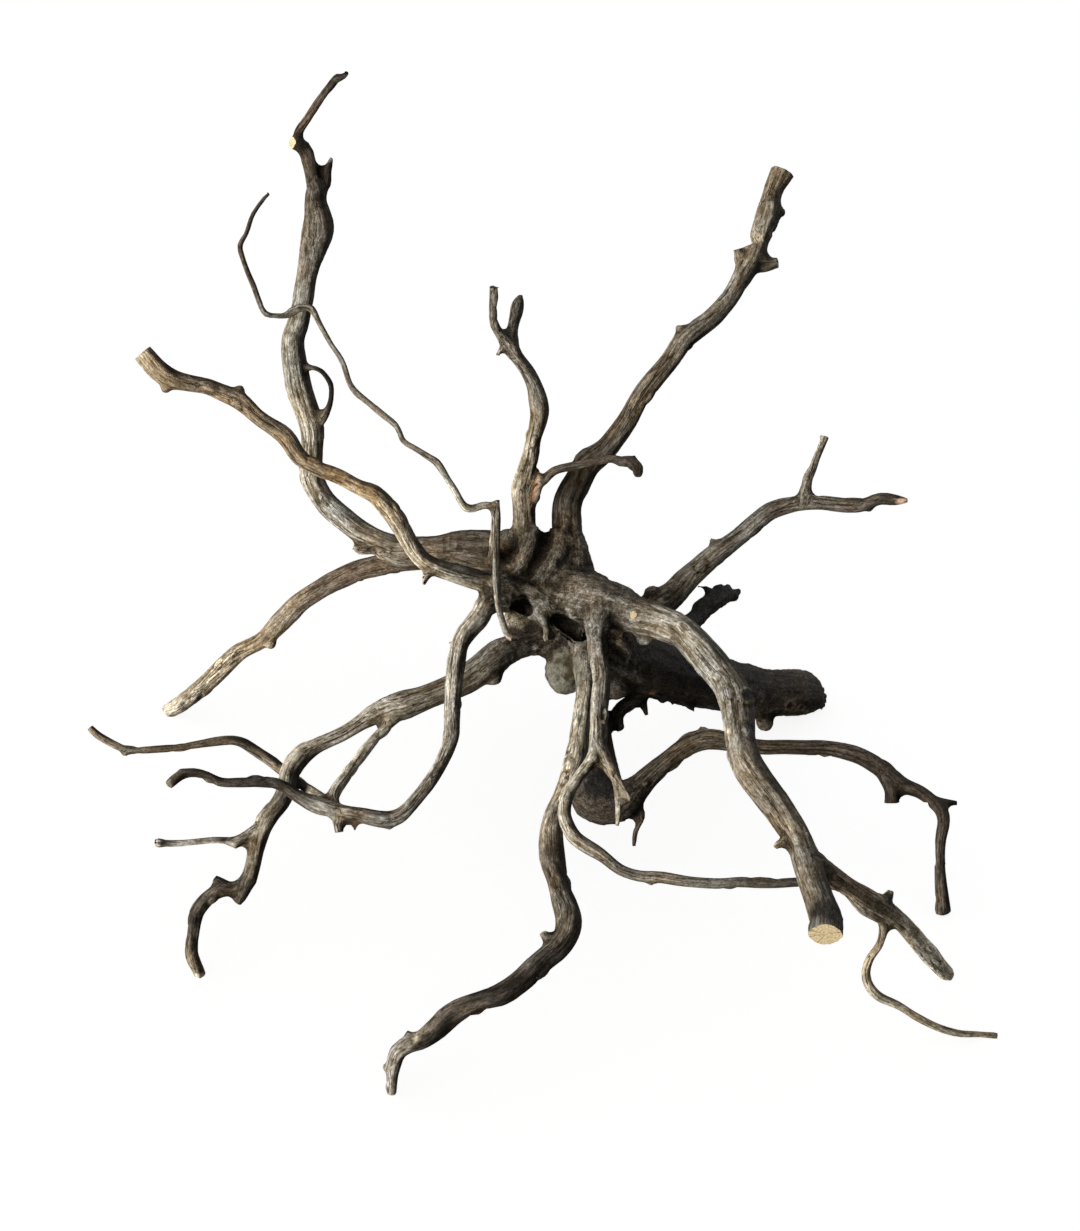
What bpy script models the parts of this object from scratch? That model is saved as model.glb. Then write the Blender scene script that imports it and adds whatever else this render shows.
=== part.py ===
# A weathered spider-wood root that stands on its own root tips.
#
# The wood grew as one piece, so its limbs, roots, stubs and knots are fused into one solid.
# Each limb is a tapering tube along a route of hand-placed stations. Lumps fill the crown
# where the limbs meet, ellipsoids hollow its front, and flat cuts make the sawn ends and
# the feet.

import math

import bmesh
import bpy
import numpy as np
from mathutils import Matrix, Vector
from mathutils.bvhtree import BVHTree

MM = 0.001

# Layout frame
# The root is laid out on a plane through its crown that leans back, square to a line of
# sight a metre long. A station gives, in millimetres, how far it lies across and up that
# plane, how far it stands towards the viewer, and the limb's radius, all as seen on the
# plane: what stands nearer is truly smaller.
SIGHT_LENGTH = 1000.0
SIGHT_RISE = math.radians(35.0)
CROWN_HEIGHT = 113.0
FOOTPRINT_SHIFT = (4.7, 37.4)

# Modelling sizes, in millimetres
STATION_SPACING = 3.0
TUBE_SIDES_SETTING = 4
CROTCH_FILLET = 1.8
VOXEL = 0.9
SAW_ALLOWANCE = 9.0
CUTTER_DEPTH = 30.0
FLOOR_CUTTER_SPAN = 900.0
TARGET_TRIANGLES = 9800
UNTANGLE_PASSES = 12
CATMULL_ROM_SPANS = (((0, 1), (1, 2), (2, 3)), ((0, 2), (1, 3)), ((1, 2),))

# Limbs of the upper left
UPPER_LEFT = {
    "left_trunk": [
        (-5, 23, -5, 13), (-20, 29, -5, 12.2), (-30, 30.5, -8, 12), (-40, 32, -10, 10.3),
        (-50, 31.5, -12, 8.5), (-60, 32, -15, 7.5), (-70, 31.5, -18, 7), (-78, 33, -20, 5),
    ],
    "tall_limb": [
        (-68, 32, -18, 6), (-80, 36.8, -20, 5.8), (-88.5, 40.8, -22, 6.3), (-95, 45.3, -23, 6.3),
        (-100.5, 49.5, -24, 6.3), (-105.8, 54.5, -25, 6.2), (-109.8, 60, -25, 6.2), (-114, 69, -24, 6.2),
        (-113.5, 83, -22, 5.2), (-113.5, 93, -19, 6), (-116.5, 103, -16, 6),
        (-120, 113, -13, 6.3), (-122.5, 128, -8, 6), (-123, 138, -5, 5.5),
        (-120.5, 148, -3, 5.2), (-118.5, 158, 0, 5.2), (-116, 173, 2, 5.5),
        (-113.5, 183, 4, 7), (-111, 193, 6, 8.5), (-111, 198, 8, 8), (-112.5, 208, 10, 6),
        (-112, 213, 11, 6), (-114.4, 220.5, 14, 3.8), (-116, 228, 15, 4.1),
        (-118, 234, 16, 3.8), (-123.8, 236, 21, 2.7),
    ],
    "tall_limb_twig": [
        (-119, 234, 16, 2.8), (-121, 239, 18, 2.5), (-120.5, 242, 19, 2.5),
        (-116.5, 248, 22, 2.2), (-110, 258, 25, 2.1), (-103.5, 266.5, 28, 2.1),
        (-101, 269, 30, 2.2), (-98, 269.5, 32, 1.5), (-96, 272, 34, 1.1),
    ],
    "tall_limb_spur": [
        (-110.5, 211, 10, 3), (-107, 216, 12, 2.6), (-106.3, 222, 13, 2.1),
        (-105, 226, 14, 1.5), (-104, 229.7, 15, 0.8),
    ],
    "small_loop": [
        (-121, 125, -8, 2), (-116, 124.5, -6, 1.4), (-112.5, 123.8, -5, 1.4),
        (-109, 122, -4, 1.5), (-106.5, 119, -4, 1.5), (-104.5, 115.5, -5, 1.5),
        (-104.3, 110.5, -7, 1.5), (-105, 106, -9, 1.6), (-106.5, 102.5, -11, 2),
        (-108.5, 99, -14, 2.6), (-112, 95, -18, 3),
    ],
    "crotch_splinter": [(-84, 34, -21, 3.5), (-90.5, 33, -21, 2.6), (-93.5, 34.5, -21, 1.2)],
    "front_left_limb": [
        (-12, 13, 8, 7), (-22.5, 15.5, 17, 6), (-32.5, 18, 24, 4.8), (-42.5, 21, 28, 4.8),
        (-51.5, 24, 30, 4.8), (-57.5, 27, 31, 4.7), (-62.5, 32.5, 32, 4.8),
        (-68.5, 43, 34, 4.5), (-72.5, 49.5, 35, 4.8), (-77.5, 55.5, 36, 4.8),
        (-83, 61, 37, 4.6), (-91, 64.5, 37.5, 3.9), (-100, 69.3, 38, 3.6),
        (-110, 73, 39, 3.6), (-120, 79, 40, 4), (-127.5, 89.5, 41, 4.5),
        (-140, 98.5, 42, 4.2), (-150, 107.5, 42, 4.6), (-160, 112, 43, 4.2),
        (-165.5, 114.5, 44, 3.9), (-175.5, 116, 45, 4.3), (-184, 118, 47, 5),
        (-190.5, 122.5, 50, 5.2), (-198.5, 131.5, 52, 4.9),
    ],
    "front_left_stub": [(-52, 23.5, 31, 2), (-56.5, 20, 34, 1.3), (-59.5, 18.5, 35, 0.9)],
    "front_left_stub_tip": [(-55.5, 20.5, 33, 1.3), (-58.5, 15, 35, 0.9)],
    "back_left_root": [
        (-58, 30, -20, 6), (-70, 27.5, -28, 5.5), (-80, 25.5, -36, 5.5), (-90, 23, -43, 5.2),
        (-100, 18.5, -50, 5.1), (-110, 13, -60, 4.8), (-120, 6.5, -70, 5),
        (-129.5, -3, -80, 5), (-139, -12, -88, 4), (-150, -18, -95, 4.2),
        (-160, -27.5, -101, 4.7), (-170, -37, -107, 4.5), (-180, -44.5, -112, 4),
        (-185.5, -47.5, -116.4, 3.6),
    ],
    "long_twig": [
        (-23.5, 28, 6, 3), (-23, 34, 19, 2.6), (-22.5, 42, 32, 2.4), (-22.5, 50, 43, 2.2),
        (-24.5, 54.8, 48, 2), (-29, 55, 50, 2), (-33.5, 53.5, 51, 2.1), (-37, 54, 52, 2.2),
        (-39.5, 57, 53, 1.9), (-42.5, 62.5, 54, 1.8), (-46, 68, 55, 1.7),
        (-51.5, 76.5, 56, 2), (-54.5, 78.5, 56, 1.9), (-62.5, 83.5, 55, 1.8),
        (-68.5, 87.5, 53, 1.6), (-70, 91, 52, 1.5), (-72.5, 95.5, 50, 1.6),
        (-77.5, 99.5, 48, 1.6), (-87, 107.5, 45, 1.6), (-91.5, 111, 44, 1.7),
        (-95, 116, 42, 1.6), (-99, 127.5, 38, 1.6), (-105, 136.5, 35, 1.5),
        (-110.5, 146.5, 33, 1.6), (-114, 153.5, 31, 1.9), (-116.5, 154.3, 30, 1.8),
        (-120, 154, 29, 2.2), (-124.5, 151.5, 28, 2.4), (-127.5, 149.8, 28, 1.6),
        (-132.5, 150, 29, 1.4), (-137, 150.5, 30, 1.5), (-139.5, 154.5, 31, 1.6),
        (-142, 161.5, 33, 1.6), (-143.5, 165.5, 35, 1.7), (-146, 171.5, 38, 1.5),
        (-148, 177, 40, 1.5), (-150, 185, 44, 1.6), (-147, 190.5, 47, 1.3),
        (-145.5, 195, 49, 1.3), (-143.5, 200.5, 51, 1.2), (-138, 208.5, 54, 1.1),
        (-135, 211.5, 56, 0.8),
    ],
    "hanging_stick": [
        (-21, 59.3, 50, 0.9), (-21.3, 55, 48.5, 1.4), (-21.5, 49, 44, 2),
        (-21.8, 40, 37, 2.1), (-21.8, 30, 31, 2), (-21.8, 18, 29, 1.9), (-21, 8, 31, 1.8),
        (-19.8, 0.5, 34, 1.8), (-17.8, -6, 37, 1.8), (-15.5, -10.5, 39, 1.7),
        (-13, -12.5, 41, 1),
    ],
}

# Limbs of the top and the right
UPPER_RIGHT = {
    "middle_limb": [
        (-7.5, 33, 0, 8), (-7.5, 43, 2, 6.2), (-8, 55, 5, 5.6), (-9, 63.3, 8, 5.5),
        (-7, 71.5, 12, 4.6), (-4.8, 78.5, 16, 4.5), (-3.3, 88, 23, 4.1), (-0.8, 98, 30, 4.5),
        (-0.3, 103.5, 34, 4.7), (-1.8, 111.5, 41, 4.3), (-5.3, 120, 46, 3.8),
        (-10.5, 128, 48, 3.4), (-15, 134, 49, 4.1), (-19, 140, 51, 3.2),
        (-23, 145.5, 55, 2.5), (-23.5, 152, 58, 2.3), (-23.5, 158, 60, 2.2),
        (-23, 164, 62, 2.5),
    ],
    "middle_limb_tine": [
        (-13, 131, 48, 3.4), (-14.5, 138, 48, 4), (-13.4, 144, 45, 3),
        (-12, 149.5, 43, 3.1), (-11, 154, 41, 3.5), (-10, 158, 39, 2.4), (-9.4, 160.6, 38, 1),
    ],
    "middle_limb_curl": [(-16, 134, 50, 2), (-20, 132.5, 52, 1.1), (-21.5, 129.5, 53, 0.9)],
    "hook_twig": [
        (-5, 57, 7, 3), (-1.5, 64, 12, 2.5), (2.5, 68, 15, 2.3), (7, 72.3, 19, 2.1),
        (15.5, 74.5, 24, 2.2), (21.5, 75.5, 28, 2.2), (31, 77.5, 32, 2.1),
        (36.5, 78.5, 34, 2.1), (40, 77, 35, 2.5), (44.8, 77, 38, 3), (49, 74.3, 40, 3),
        (49, 70.8, 42, 2.7),
    ],
    "hook_twig_nib": [(46, 78, 38, 1.6), (48.5, 80, 39, 0.9)],
    "top_right_limb": [
        (17.5, 13, -2, 11), (16.5, 25.5, -2, 9.5), (14.5, 37.5, -3, 8), (13.7, 48, -4, 7.7),
        (14.3, 58, -3, 7.6), (19.3, 68, -2, 7), (24, 75.5, -1, 6.5), (33, 83, 0, 5.4),
        (42.8, 96, 1, 5.2), (49.5, 108, 3, 5.3), (57, 118, 4, 5.1), (65.5, 128, 4, 4.9),
        (72.5, 138, 4, 5.5), (84.8, 148, 2, 5), (94.3, 158, 0, 4.4), (100.5, 168, -2, 5.4),
        (106.5, 178.3, -4, 5.8), (109.8, 188, -6, 5.2), (112.8, 197, -8.5, 6.4),
        (114.3, 203.5, -10.5, 6), (115.3, 208.5, -12, 5.3), (116.8, 213.5, -14, 5.3),
        (120.5, 221, -17, 6.4),
    ],
    "top_right_left_stub": [(103, 173, -3, 3.4), (99.8, 178.5, -2, 2.7), (98.5, 183, -1, 2.2)],
    "top_right_right_stub": [(108, 176, -4, 4.6), (113.5, 175.8, -6, 4), (118.5, 176.6, -7, 2.6)],
    "right_limb": [
        (44, -4, -20, 9), (57, 4, -33, 8.5), (67, 11, -40, 7), (73, 18, -42, 6),
        (80, 24, -44, 5.2), (90, 32.2, -44, 5.2), (100, 39.8, -43, 4.8), (110, 48.3, -41, 4.6),
        (115, 52, -39, 4.7), (125, 55.3, -35, 4.3), (130, 56, -33, 3.8), (140, 56.5, -30, 3.7),
        (150, 55.4, -26, 3.9), (160, 55.2, -23, 4), (164, 56.5, -21, 3.3),
        (170, 58.5, -18, 3.5), (176.5, 57.8, -15, 2.9), (182, 57.5, -13, 1.7),
        (184.5, 57.5, -12, 0.9),
    ],
    "right_limb_twig": [
        (132, 58, -32, 4), (134, 68, -34, 2.5), (136.3, 73, -36, 2.1), (138, 78, -37, 1.9),
        (140.3, 83.5, -39, 1.9), (142.3, 89, -41, 2.2),
    ],
    "right_limb_spur": [(89, 33, -44, 3), (86.5, 37, -43.5, 1.8), (84.7, 38.3, -43, 0.9)],
    "dark_stub": [
        (48, -12, -28, 8), (64, -9, -44, 6.5), (76.5, -3, -58, 5), (82.3, 3.3, -66, 5.2),
        (88.3, 8.2, -74, 5), (93, 10.2, -80, 4), (97.3, 10, -84, 3),
    ],
    "dark_stub_prong": [(88, 10, -75, 3.4), (93.3, 13.2, -80, 1.3)],
    "forward_limb": [
        (10, 11, 4, 10), (28, 8, 13, 11), (39.5, 3.5, 18, 11), (51, -1, 24, 10),
        (61, -3.5, 31, 9), (70.5, -7.5, 40, 8.8), (80, -17, 50, 8.6), (88, -26.5, 60, 8.5),
        (95, -35.5, 70, 8.4), (98.5, -44.5, 80, 8.6), (99.7, -54, 90, 8),
        (100.5, -63, 99, 7.8), (103, -73, 108, 8.4), (109, -83, 117, 8.4),
        (117, -93.5, 125, 7.8), (124, -104, 133, 7), (129.8, -114, 141, 6.8),
        (133.8, -124, 149, 7.2), (137, -134.5, 157, 7), (140.5, -144.5, 165, 7.4),
        (143, -153, 172, 8.4), (142.5, -159.5, 177, 8.4),
    ],
    "forward_limb_spur": [(124, -112, 138, 3.4), (118.5, -115, 141, 2), (117, -116.5, 141, 1.4)],
}

# Roots of the front and the right
FRONT_ROOTS = {
    "right_foot_root": [
        (136, -123, 149, 6.5), (147, -131, 139, 5.6), (159.5, -139.5, 126, 5.3),
        (170, -146, 113, 5.1), (180.5, -153.7, 99, 4.9), (190, -163.7, 82, 4.6),
        (197, -172, 64.8, 4.2), (203, -179.2, 47.7, 4.1),
    ],
    "right_foot_spur": [(172, -144, 111, 3.6), (175, -139, 112, 2.2), (175.7, -137, 112, 1.3)],
    "trailing_root": [
        (156, -140, 127, 3), (161, -147.5, 120, 1.9), (166.5, -150.5, 115, 2),
        (171, -153.5, 109, 2.2), (171.5, -158, 105, 2.2), (169.5, -165, 100, 2.1),
        (165, -171.5, 97, 2.2), (163, -178, 95, 2.4), (164.5, -185, 95, 2.5),
        (169.5, -190.5, 95, 2.4), (178.5, -194.5, 93, 2.1), (189, -201, 90, 2.1),
        (200, -206.3, 86.8, 1.9), (210, -209, 84.2, 1.8), (220, -209.5, 82.1, 1.7),
        (228.5, -210.3, 80.1, 1.7),
    ],
    "stump": [
        (20, -10, -6, 17), (45, -20.5, -22, 17.2), (60, -26, -40, 16.3), (80, -31.7, -62, 14.4),
        (90, -34.3, -74, 13.6), (100, -37, -86, 13), (110, -38.5, -97.5, 12.2),
        (120, -39, -107, 12), (128, -39, -115, 12), (134, -40, -119.5, 10.6),
        (138, -41.2, -122, 7.6), (140.3, -42, -123.5, 4.2),
    ],
    "stump_nib": [(136.5, -42, -120, 4), (141.8, -46.5, -120, 1.2)],
    "stump_rootlet": [
        (52, -34, -30, 5), (46, -43, -28, 4), (41, -46.5, -26, 3.5), (38.5, -50, -24, 3),
        (39, -54, -22, 2.7), (40.2, -56.5, -21, 2.4),
    ],
    "stump_thorn": [(50, -40, -32, 2.2), (52.5, -47, -32, 1.6), (53.5, -50.5, -32, 0.9)],
    "front_leg": [
        (24, -12, 6, 9), (23, -24, 12, 6.8), (22.5, -34, 18, 5.2), (22, -42, 22, 4.8),
        (19.5, -62, 32, 4.8),
        (18, -72, 38, 5.2), (14.7, -82, 44, 5.4), (10.7, -92, 50, 5.6), (6.8, -102, 56, 5.8),
        (5.8, -112, 62, 6.5), (6.5, -122, 67, 6.4), (8.8, -132, 74, 5.9),
        (11.5, -142, 81, 6.5), (14.3, -152, 88, 7.2), (13, -159.5, 94, 7),
        (8.7, -166.5, 99, 6.6), (0, -174, 105, 6), (-10, -183.3, 110, 6), (-20, -190, 112, 5.9),
        (-30, -193, 113, 5.3), (-40, -197, 113, 6), (-45, -200, 113, 6.3),
        (-52, -206.5, 113, 6.1), (-60, -212.5, 113, 5.3), (-65, -214, 113, 5.2),
        (-71, -218, 112.5, 5.1), (-73.5, -227, 111, 3.8), (-74.2, -236.3, 108, 3),
        (-74.5, -241, 105, 2.8),
    ],
    "front_leg_spur": [(6.5, -164.5, 96, 3.6), (3, -161, 98, 2.4), (1.5, -158.7, 98.5, 2)],
    "front_leg_upper_thorn": [(-47, -202, 114, 2.6), (-51.5, -197.5, 116, 1)],
    "front_leg_lower_thorn": [(-62, -213, 114, 2), (-67.3, -207.5, 115, 1)],
    "fork_root": [
        (32, 2, 18, 9), (29.5, -4, 24, 7.2), (28.5, -11, 27, 5.2), (29.5, -22, 31, 4.4),
        (30.8, -32, 35, 4.4), (29.8, -42, 39, 4.7), (29.3, -52, 44, 4.8),
        (29.3, -62, 50, 4.9), (27.5, -70.5, 55, 4.3), (24, -75, 58, 3.5),
        (18.5, -82, 63, 3.1), (13.3, -92, 70, 3.3), (12.5, -101, 76, 3.6),
        (16.5, -110, 81, 3.7), (23, -115, 85, 3.6), (31, -120, 88, 3.5), (40, -127, 90, 2.9),
        (50, -130.2, 92, 2.9), (60, -130.8, 94, 3), (70, -132.5, 97, 2.9),
        (80, -133.5, 100, 2.8), (90, -134, 102, 2.6), (100, -133.3, 104, 2.6),
        (110, -133.8, 107, 2.5), (120, -133.8, 110, 2.4), (131, -133.3, 113, 2.3),
    ],
    "fork_root_thorn": [(55.3, -131.5, 93, 2), (56, -135.8, 93.5, 0.9)],
    "fork_right_tine": [
        (29.5, -66, 53, 4.4), (34.5, -76, 59, 3.3), (38.3, -82, 63, 2.9), (39, -89, 67, 2.1),
        (39.3, -96, 71, 1.8), (39, -102, 73, 1.5), (38.3, -106, 74, 0.9),
    ],
    "fork_splinter": [(37, -79.5, 64, 2.6), (42, -87.5, 69, 1.5), (46, -93, 72, 0.9)],
    "elbow_root": [
        (26, -20, -12, 10), (26, -45, -18, 8), (27.5, -62, -16, 8.5), (28.5, -77, -8, 10.8),
        (29.5, -90.3, 0, 13.1), (40, -92.8, 3, 10.2), (48, -87, 5, 7.6), (56, -79, 7, 5.6),
        (66.5, -70, 8, 5.3), (76.5, -63.5, 8, 5.6), (84.5, -62, 8, 5.5), (96, -63.5, 7, 4.7),
        (110, -65.8, 5, 3.9), (127.5, -66, 2, 3.8), (143, -66.5, 0, 3.9),
        (150, -67.7, 0, 4.1), (160, -70.5, 0, 4.4), (170, -76.3, 1, 4.4), (180, -84, 4, 4.3),
        (190, -88, 6, 3.6), (196, -92.5, 8, 3.5), (201, -97.8, 11, 3.6),
        (202, -103, 13, 3.2), (200.5, -112, 16, 2.9), (200, -122, 18, 2.9),
        (200.3, -132, 19, 3), (201.3, -142, 16, 3.3), (201.8, -147.8, 13, 3.8),
    ],
    "elbow_root_stub": [(172.5, -80, 2, 4), (175.5, -87, 4, 3.5), (176, -93.5, 4, 4)],
    "elbow_root_spur": [(196, -92.5, 8.5, 3), (203, -93.5, 8, 2), (209, -93.8, 7, 1.1)],
    "elbow_root_thorn": [(81, -58.5, 8, 2), (81, -54.7, 8, 0.9)],
    "elbow_rootlet": [
        (46, -93, 4, 5), (50.5, -100.5, 4, 2.4), (49.5, -104.5, 5, 1.6), (47.8, -108, 5, 1.5),
        (47.2, -113, 6, 1.2), (47, -116, 6, 0.9),
    ],
}

# Roots of the lower left
LEFT_ROOTS = {
    "left_root": [
        (14, -8, -6, 10), (2, -12, -2, 7.6), (-8, -14.8, 2, 6.3), (-19, -18.5, 6, 7.3),
        (-28.5, -26, 9, 7.2), (-38, -33, 11, 6.8), (-50, -38, 13, 6), (-60, -42, 14, 5.9),
        (-69, -45, 15, 7), (-76, -46.5, 15.5, 6.4), (-83.5, -49.5, 16, 5.3),
        (-90, -53.7, 18, 4.3), (-100, -60, 21, 3.9), (-110, -64.5, 24, 3.9),
        (-116, -67.8, 26, 4.6), (-121.5, -72.3, 28.5, 5.4), (-125.5, -79, 32, 5.1),
        (-127, -86.5, 37, 4.8), (-130, -93.5, 41, 4.9), (-135.7, -100.5, 44, 4.6),
        (-139.5, -108.5, 47, 4.3), (-141.8, -116.5, 49, 3.9), (-143.8, -126, 51, 4.1),
        (-147, -134, 52, 4.6), (-154, -136.8, 53, 3.6), (-160, -137.5, 54, 4),
        (-165, -140.5, 55, 4), (-169, -144.5, 56, 4), (-171.8, -149, 56, 4),
        (-172.8, -156, 56, 3.3), (-174.3, -165, 55, 3.3), (-174, -170.5, 53, 3.6),
        (-171, -177, 49, 3.1), (-169.5, -181, 45, 3),
    ],
    "left_root_knuckle": [(-147, -134, 52, 4.4), (-150, -142, 54, 2.8), (-151, -144, 54, 2)],
    "left_root_spur": [(-158, -135, 53.5, 3.4), (-162, -131.8, 54, 2), (-163, -131, 54, 1.6)],
    "left_side_twig": [
        (-139, -106, 46, 3.8), (-146.5, -110, 50, 2.8), (-150, -112, 52, 2.8),
        (-153.5, -113, 53, 2.8), (-157.5, -112.5, 55, 2), (-166.5, -112.5, 58, 1.9),
        (-180, -113.8, 61, 1.8), (-187.5, -113.8, 63, 1.8), (-190.3, -113.6, 64, 2.4),
        (-192.5, -113.4, 64, 1.9),
    ],
    "cross_root": [
        (-70, -47, 14, 4.4), (-75, -53, 19, 3.1), (-77, -56, 21, 2.9), (-82.8, -61.7, 27, 2.8),
        (-90.5, -71.3, 36, 2.9), (-97.3, -80.8, 46, 2.8), (-103.5, -90, 55, 3.2),
        (-103, -95, 61, 3.4),
    ],
    "loop_root": [
        (-14, 9, 10, 7.5), (-26, 6, 20, 5.6), (-31, -2, 26, 5.2), (-39.3, -12, 32, 4.6),
        (-42, -22, 37, 4.5), (-43, -32, 42, 4.5), (-43.7, -42, 46, 4.4), (-44, -52, 50, 4.2),
        (-44.3, -61, 54, 4.2), (-48.5, -72, 58, 3.6), (-54.5, -82, 61, 3.6),
        (-62, -92, 64, 3.7), (-70, -100, 66, 4.3), (-76, -102, 66, 4.6),
        (-83, -101.5, 66, 4.3), (-90, -99.8, 65, 3.9), (-100, -97.8, 64, 3.8),
        (-110, -95.2, 63, 4.3), (-120, -91, 61, 3.3), (-130, -84.5, 59, 2.8),
        (-140, -83, 58, 2.9), (-150, -83.5, 58, 2.5), (-160, -83.3, 59, 2.5),
        (-167, -80, 61, 2.4), (-173, -78.5, 63, 2.4), (-180, -80, 66, 2.7),
        (-185.5, -84.5, 70, 2.3),
    ],
    "loop_root_thorn": [(-41, -15.5, 32, 2.4), (-45.5, -12.5, 33, 0.9)],
    "loop_root_stub": [(-100.5, -99, 64, 3.3), (-101, -105, 64, 2.7), (-100.7, -108.3, 64, 2.6)],
    "far_left_root": [
        (-105, -95, 61, 3.2), (-109, -91.8, 49, 3), (-114.5, -88, 34, 2.8),
        (-122, -82.4, 17, 2.8), (-130, -76.2, 9, 2.9), (-137, -71, 8, 2.9),
        (-146.5, -64.8, 9, 2.8), (-153, -62.5, 12, 2.5), (-164, -63.3, 14, 2.4), (-180, -65.8, 18, 2.1),
        (-200, -67.3, 22, 1.9), (-207, -67, 24, 2.2), (-214.8, -63.5, 25, 1.9),
        (-221.5, -59.5, 27, 1.8), (-225, -56, 28, 1.8),
    ],
    "far_left_thorn": [(-207.3, -67.5, 24, 2), (-208, -71, 24.5, 0.9)],
}

# Ridges, folds and webs of the crown
CROWN_FOLDS = {
    "crown_ridge": [
        (-5, 11, 8, 4), (-2, 4, 12.5, 2.6), (1, -1, 14, 2), (3.4, -6.5, 14, 1.6), (5.5, -11, 11.5, 2.3),
    ],
    "crown_left_fold": [
        (-3, 44, 3, 4.6), (-6, 34, 6.5, 4.6), (-10, 24, 8.5, 4.8), (-16, 15, 9, 4.8),
    ],
    "crown_right_fold": [
        (9.5, 44, 0.5, 4.6), (9, 34, 3.5, 4.6), (6, 26, 7, 4.6), (1, 19, 9.5, 4.4),
    ],
    "hollow_lip": [
        (-17, 12, 12, 2.6), (-10, 13.5, 13, 2.6), (-3, 12, 13, 2.8), (4, 7, 13, 3),
    ],
    "stump_web": [
        (37, -7, 9, 5.5), (42, -14, 0, 5), (44, -23, -8, 4), (46, -32, -14, 3.5),
    ],
}

LIMBS = {**UPPER_LEFT, **UPPER_RIGHT, **FRONT_ROOTS, **LEFT_ROOTS, **CROWN_FOLDS}

# Limbs sawn flat and square at their last station
SAWN_ENDS = (
    "tall_limb", "front_left_limb", "top_right_limb", "forward_limb", "right_limb_twig",
    "top_right_left_stub", "top_right_right_stub", "elbow_root_stub", "front_leg_spur",
    "loop_root_stub", "right_foot_root", "elbow_root",
)

# Rounded lumps fused into the limbs, laid out as stations are
LUMPS = {
    "crown": [
        (-8, 27, -4, 13), (8, 16, -2, 15), (24, 8, 0, 14.5), (36, -2, -8, 13.5),
        (14, -8, -8, 13), (-4, 3, -8, 12), (-17, 28, -4, 12.5), (-11, 14, 2, 12),
        (2, 7, 4, 12), (20, 9, 7, 12), (-9, -4, -5, 9.5), (-16, 37, 0, 6), (2.5, 31, 0, 6),
        (38, -34, -14, 8),
    ],
    "belly": [(12, -29.5, 1, 10), (14, -24, -2, 11)],
    "under_forward_limb": [(52.5, -9.5, 22, 5.5)],
    "knots": [
        (-134.5, -14, -85, 2.5), (-187, 114, 46, 3.2), (-2.5, 59, 7, 2.2),
        (69.5, 143, 5, 2.2), (120, 201.5, -10, 2.6),
        (164.5, 54, -22, 2.4), (55.3, 11.5, -31, 4.3), (89, 12.5, -76, 2.8),
        (112.3, -53.5, -98, 4.5), (148.5, -152, 168, 3.6), (-64.5, -215, 117, 2.6),
        (-76.8, -226, 112, 2.3), (-22.8, -31, 9, 3.6), (-75.5, -105, 66, 2.2),
        (-147.5, -113.5, 50, 2), (-152.5, -114.5, 53, 2.2), (-150, 113, 42, 2.4),
    ],
}

# Hollows opening to the front of the crown: centre as a station's, then the half lengths
# across, up and towards the viewer, and the turn in the plane in degrees
HOLLOWS = [
    ((-9.5, 3.8, 12.5), (6.8, 5.2, 11.5), -12),
    ((14.5, -6.3, 11), (11.5, 5.8, 10.5), -33),
]


def place(across, up, towards):
    """World position in metres of a place in the layout frame."""
    nearness = 1.0 - towards / SIGHT_LENGTH
    x = across * nearness + FOOTPRINT_SHIFT[0]
    y = up * nearness * math.sin(SIGHT_RISE) - towards * math.cos(SIGHT_RISE) + FOOTPRINT_SHIFT[1]
    z = CROWN_HEIGHT + up * nearness * math.cos(SIGHT_RISE) + towards * math.sin(SIGHT_RISE)
    return Vector((x, y, z)) * MM


def true_size(length, towards):
    """Real size in millimetres of a length seen on the layout plane."""
    return length * (1.0 - towards / SIGHT_LENGTH)


def smooth_route(stations):
    """World points and true radii, in metres and millimetres, along a limb."""
    points = np.array([(*place(*station[:3]), true_size(station[3], station[2]) * MM)
                       for station in stations])
    padded = np.vstack([2 * points[0] - points[1], points, 2 * points[-1] - points[-2]])
    route = []
    for before, start, end, after in zip(padded, padded[1:], padded[2:], padded[3:]):
        knots = np.cumsum([0.0] + [math.sqrt(np.linalg.norm(b[:3] - a[:3]))
                                   for a, b in ((before, start), (start, end), (end, after))])
        steps = max(2, round(np.linalg.norm(end[:3] - start[:3]) / (STATION_SPACING * MM)))
        for step in range(steps):
            t = knots[1] + (knots[2] - knots[1]) * step / steps
            route.append(centripetal_point((before, start, end, after), knots, t))
    route.append(points[-1])
    return [(Vector(row[:3]), row[3] / MM) for row in route]


def centripetal_point(corners, knots, t):
    """One point of a centripetal Catmull-Rom curve through four corners."""
    level = list(corners)
    for spans in CATMULL_ROM_SPANS:
        level = [((knots[b] - t) * near + (t - knots[a]) * far) / (knots[b] - knots[a])
                 for (a, b), near, far in zip(spans, level, level[1:])]
    return level[0]


def add_end(route, sawn):
    """Lengthen a route past its last station, straight for a saw cut or in a rounded tip."""
    tip, radius = route[-1]
    heading = (tip - route[-2][0]).normalized()
    if sawn:
        return route + [(tip + heading * SAW_ALLOWANCE * MM, radius)]
    tips = [(tip + heading * radius * math.sin(a) * MM, radius * math.cos(a))
            for a in (math.radians(d) for d in (30, 55, 75))]
    return route + tips


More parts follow.
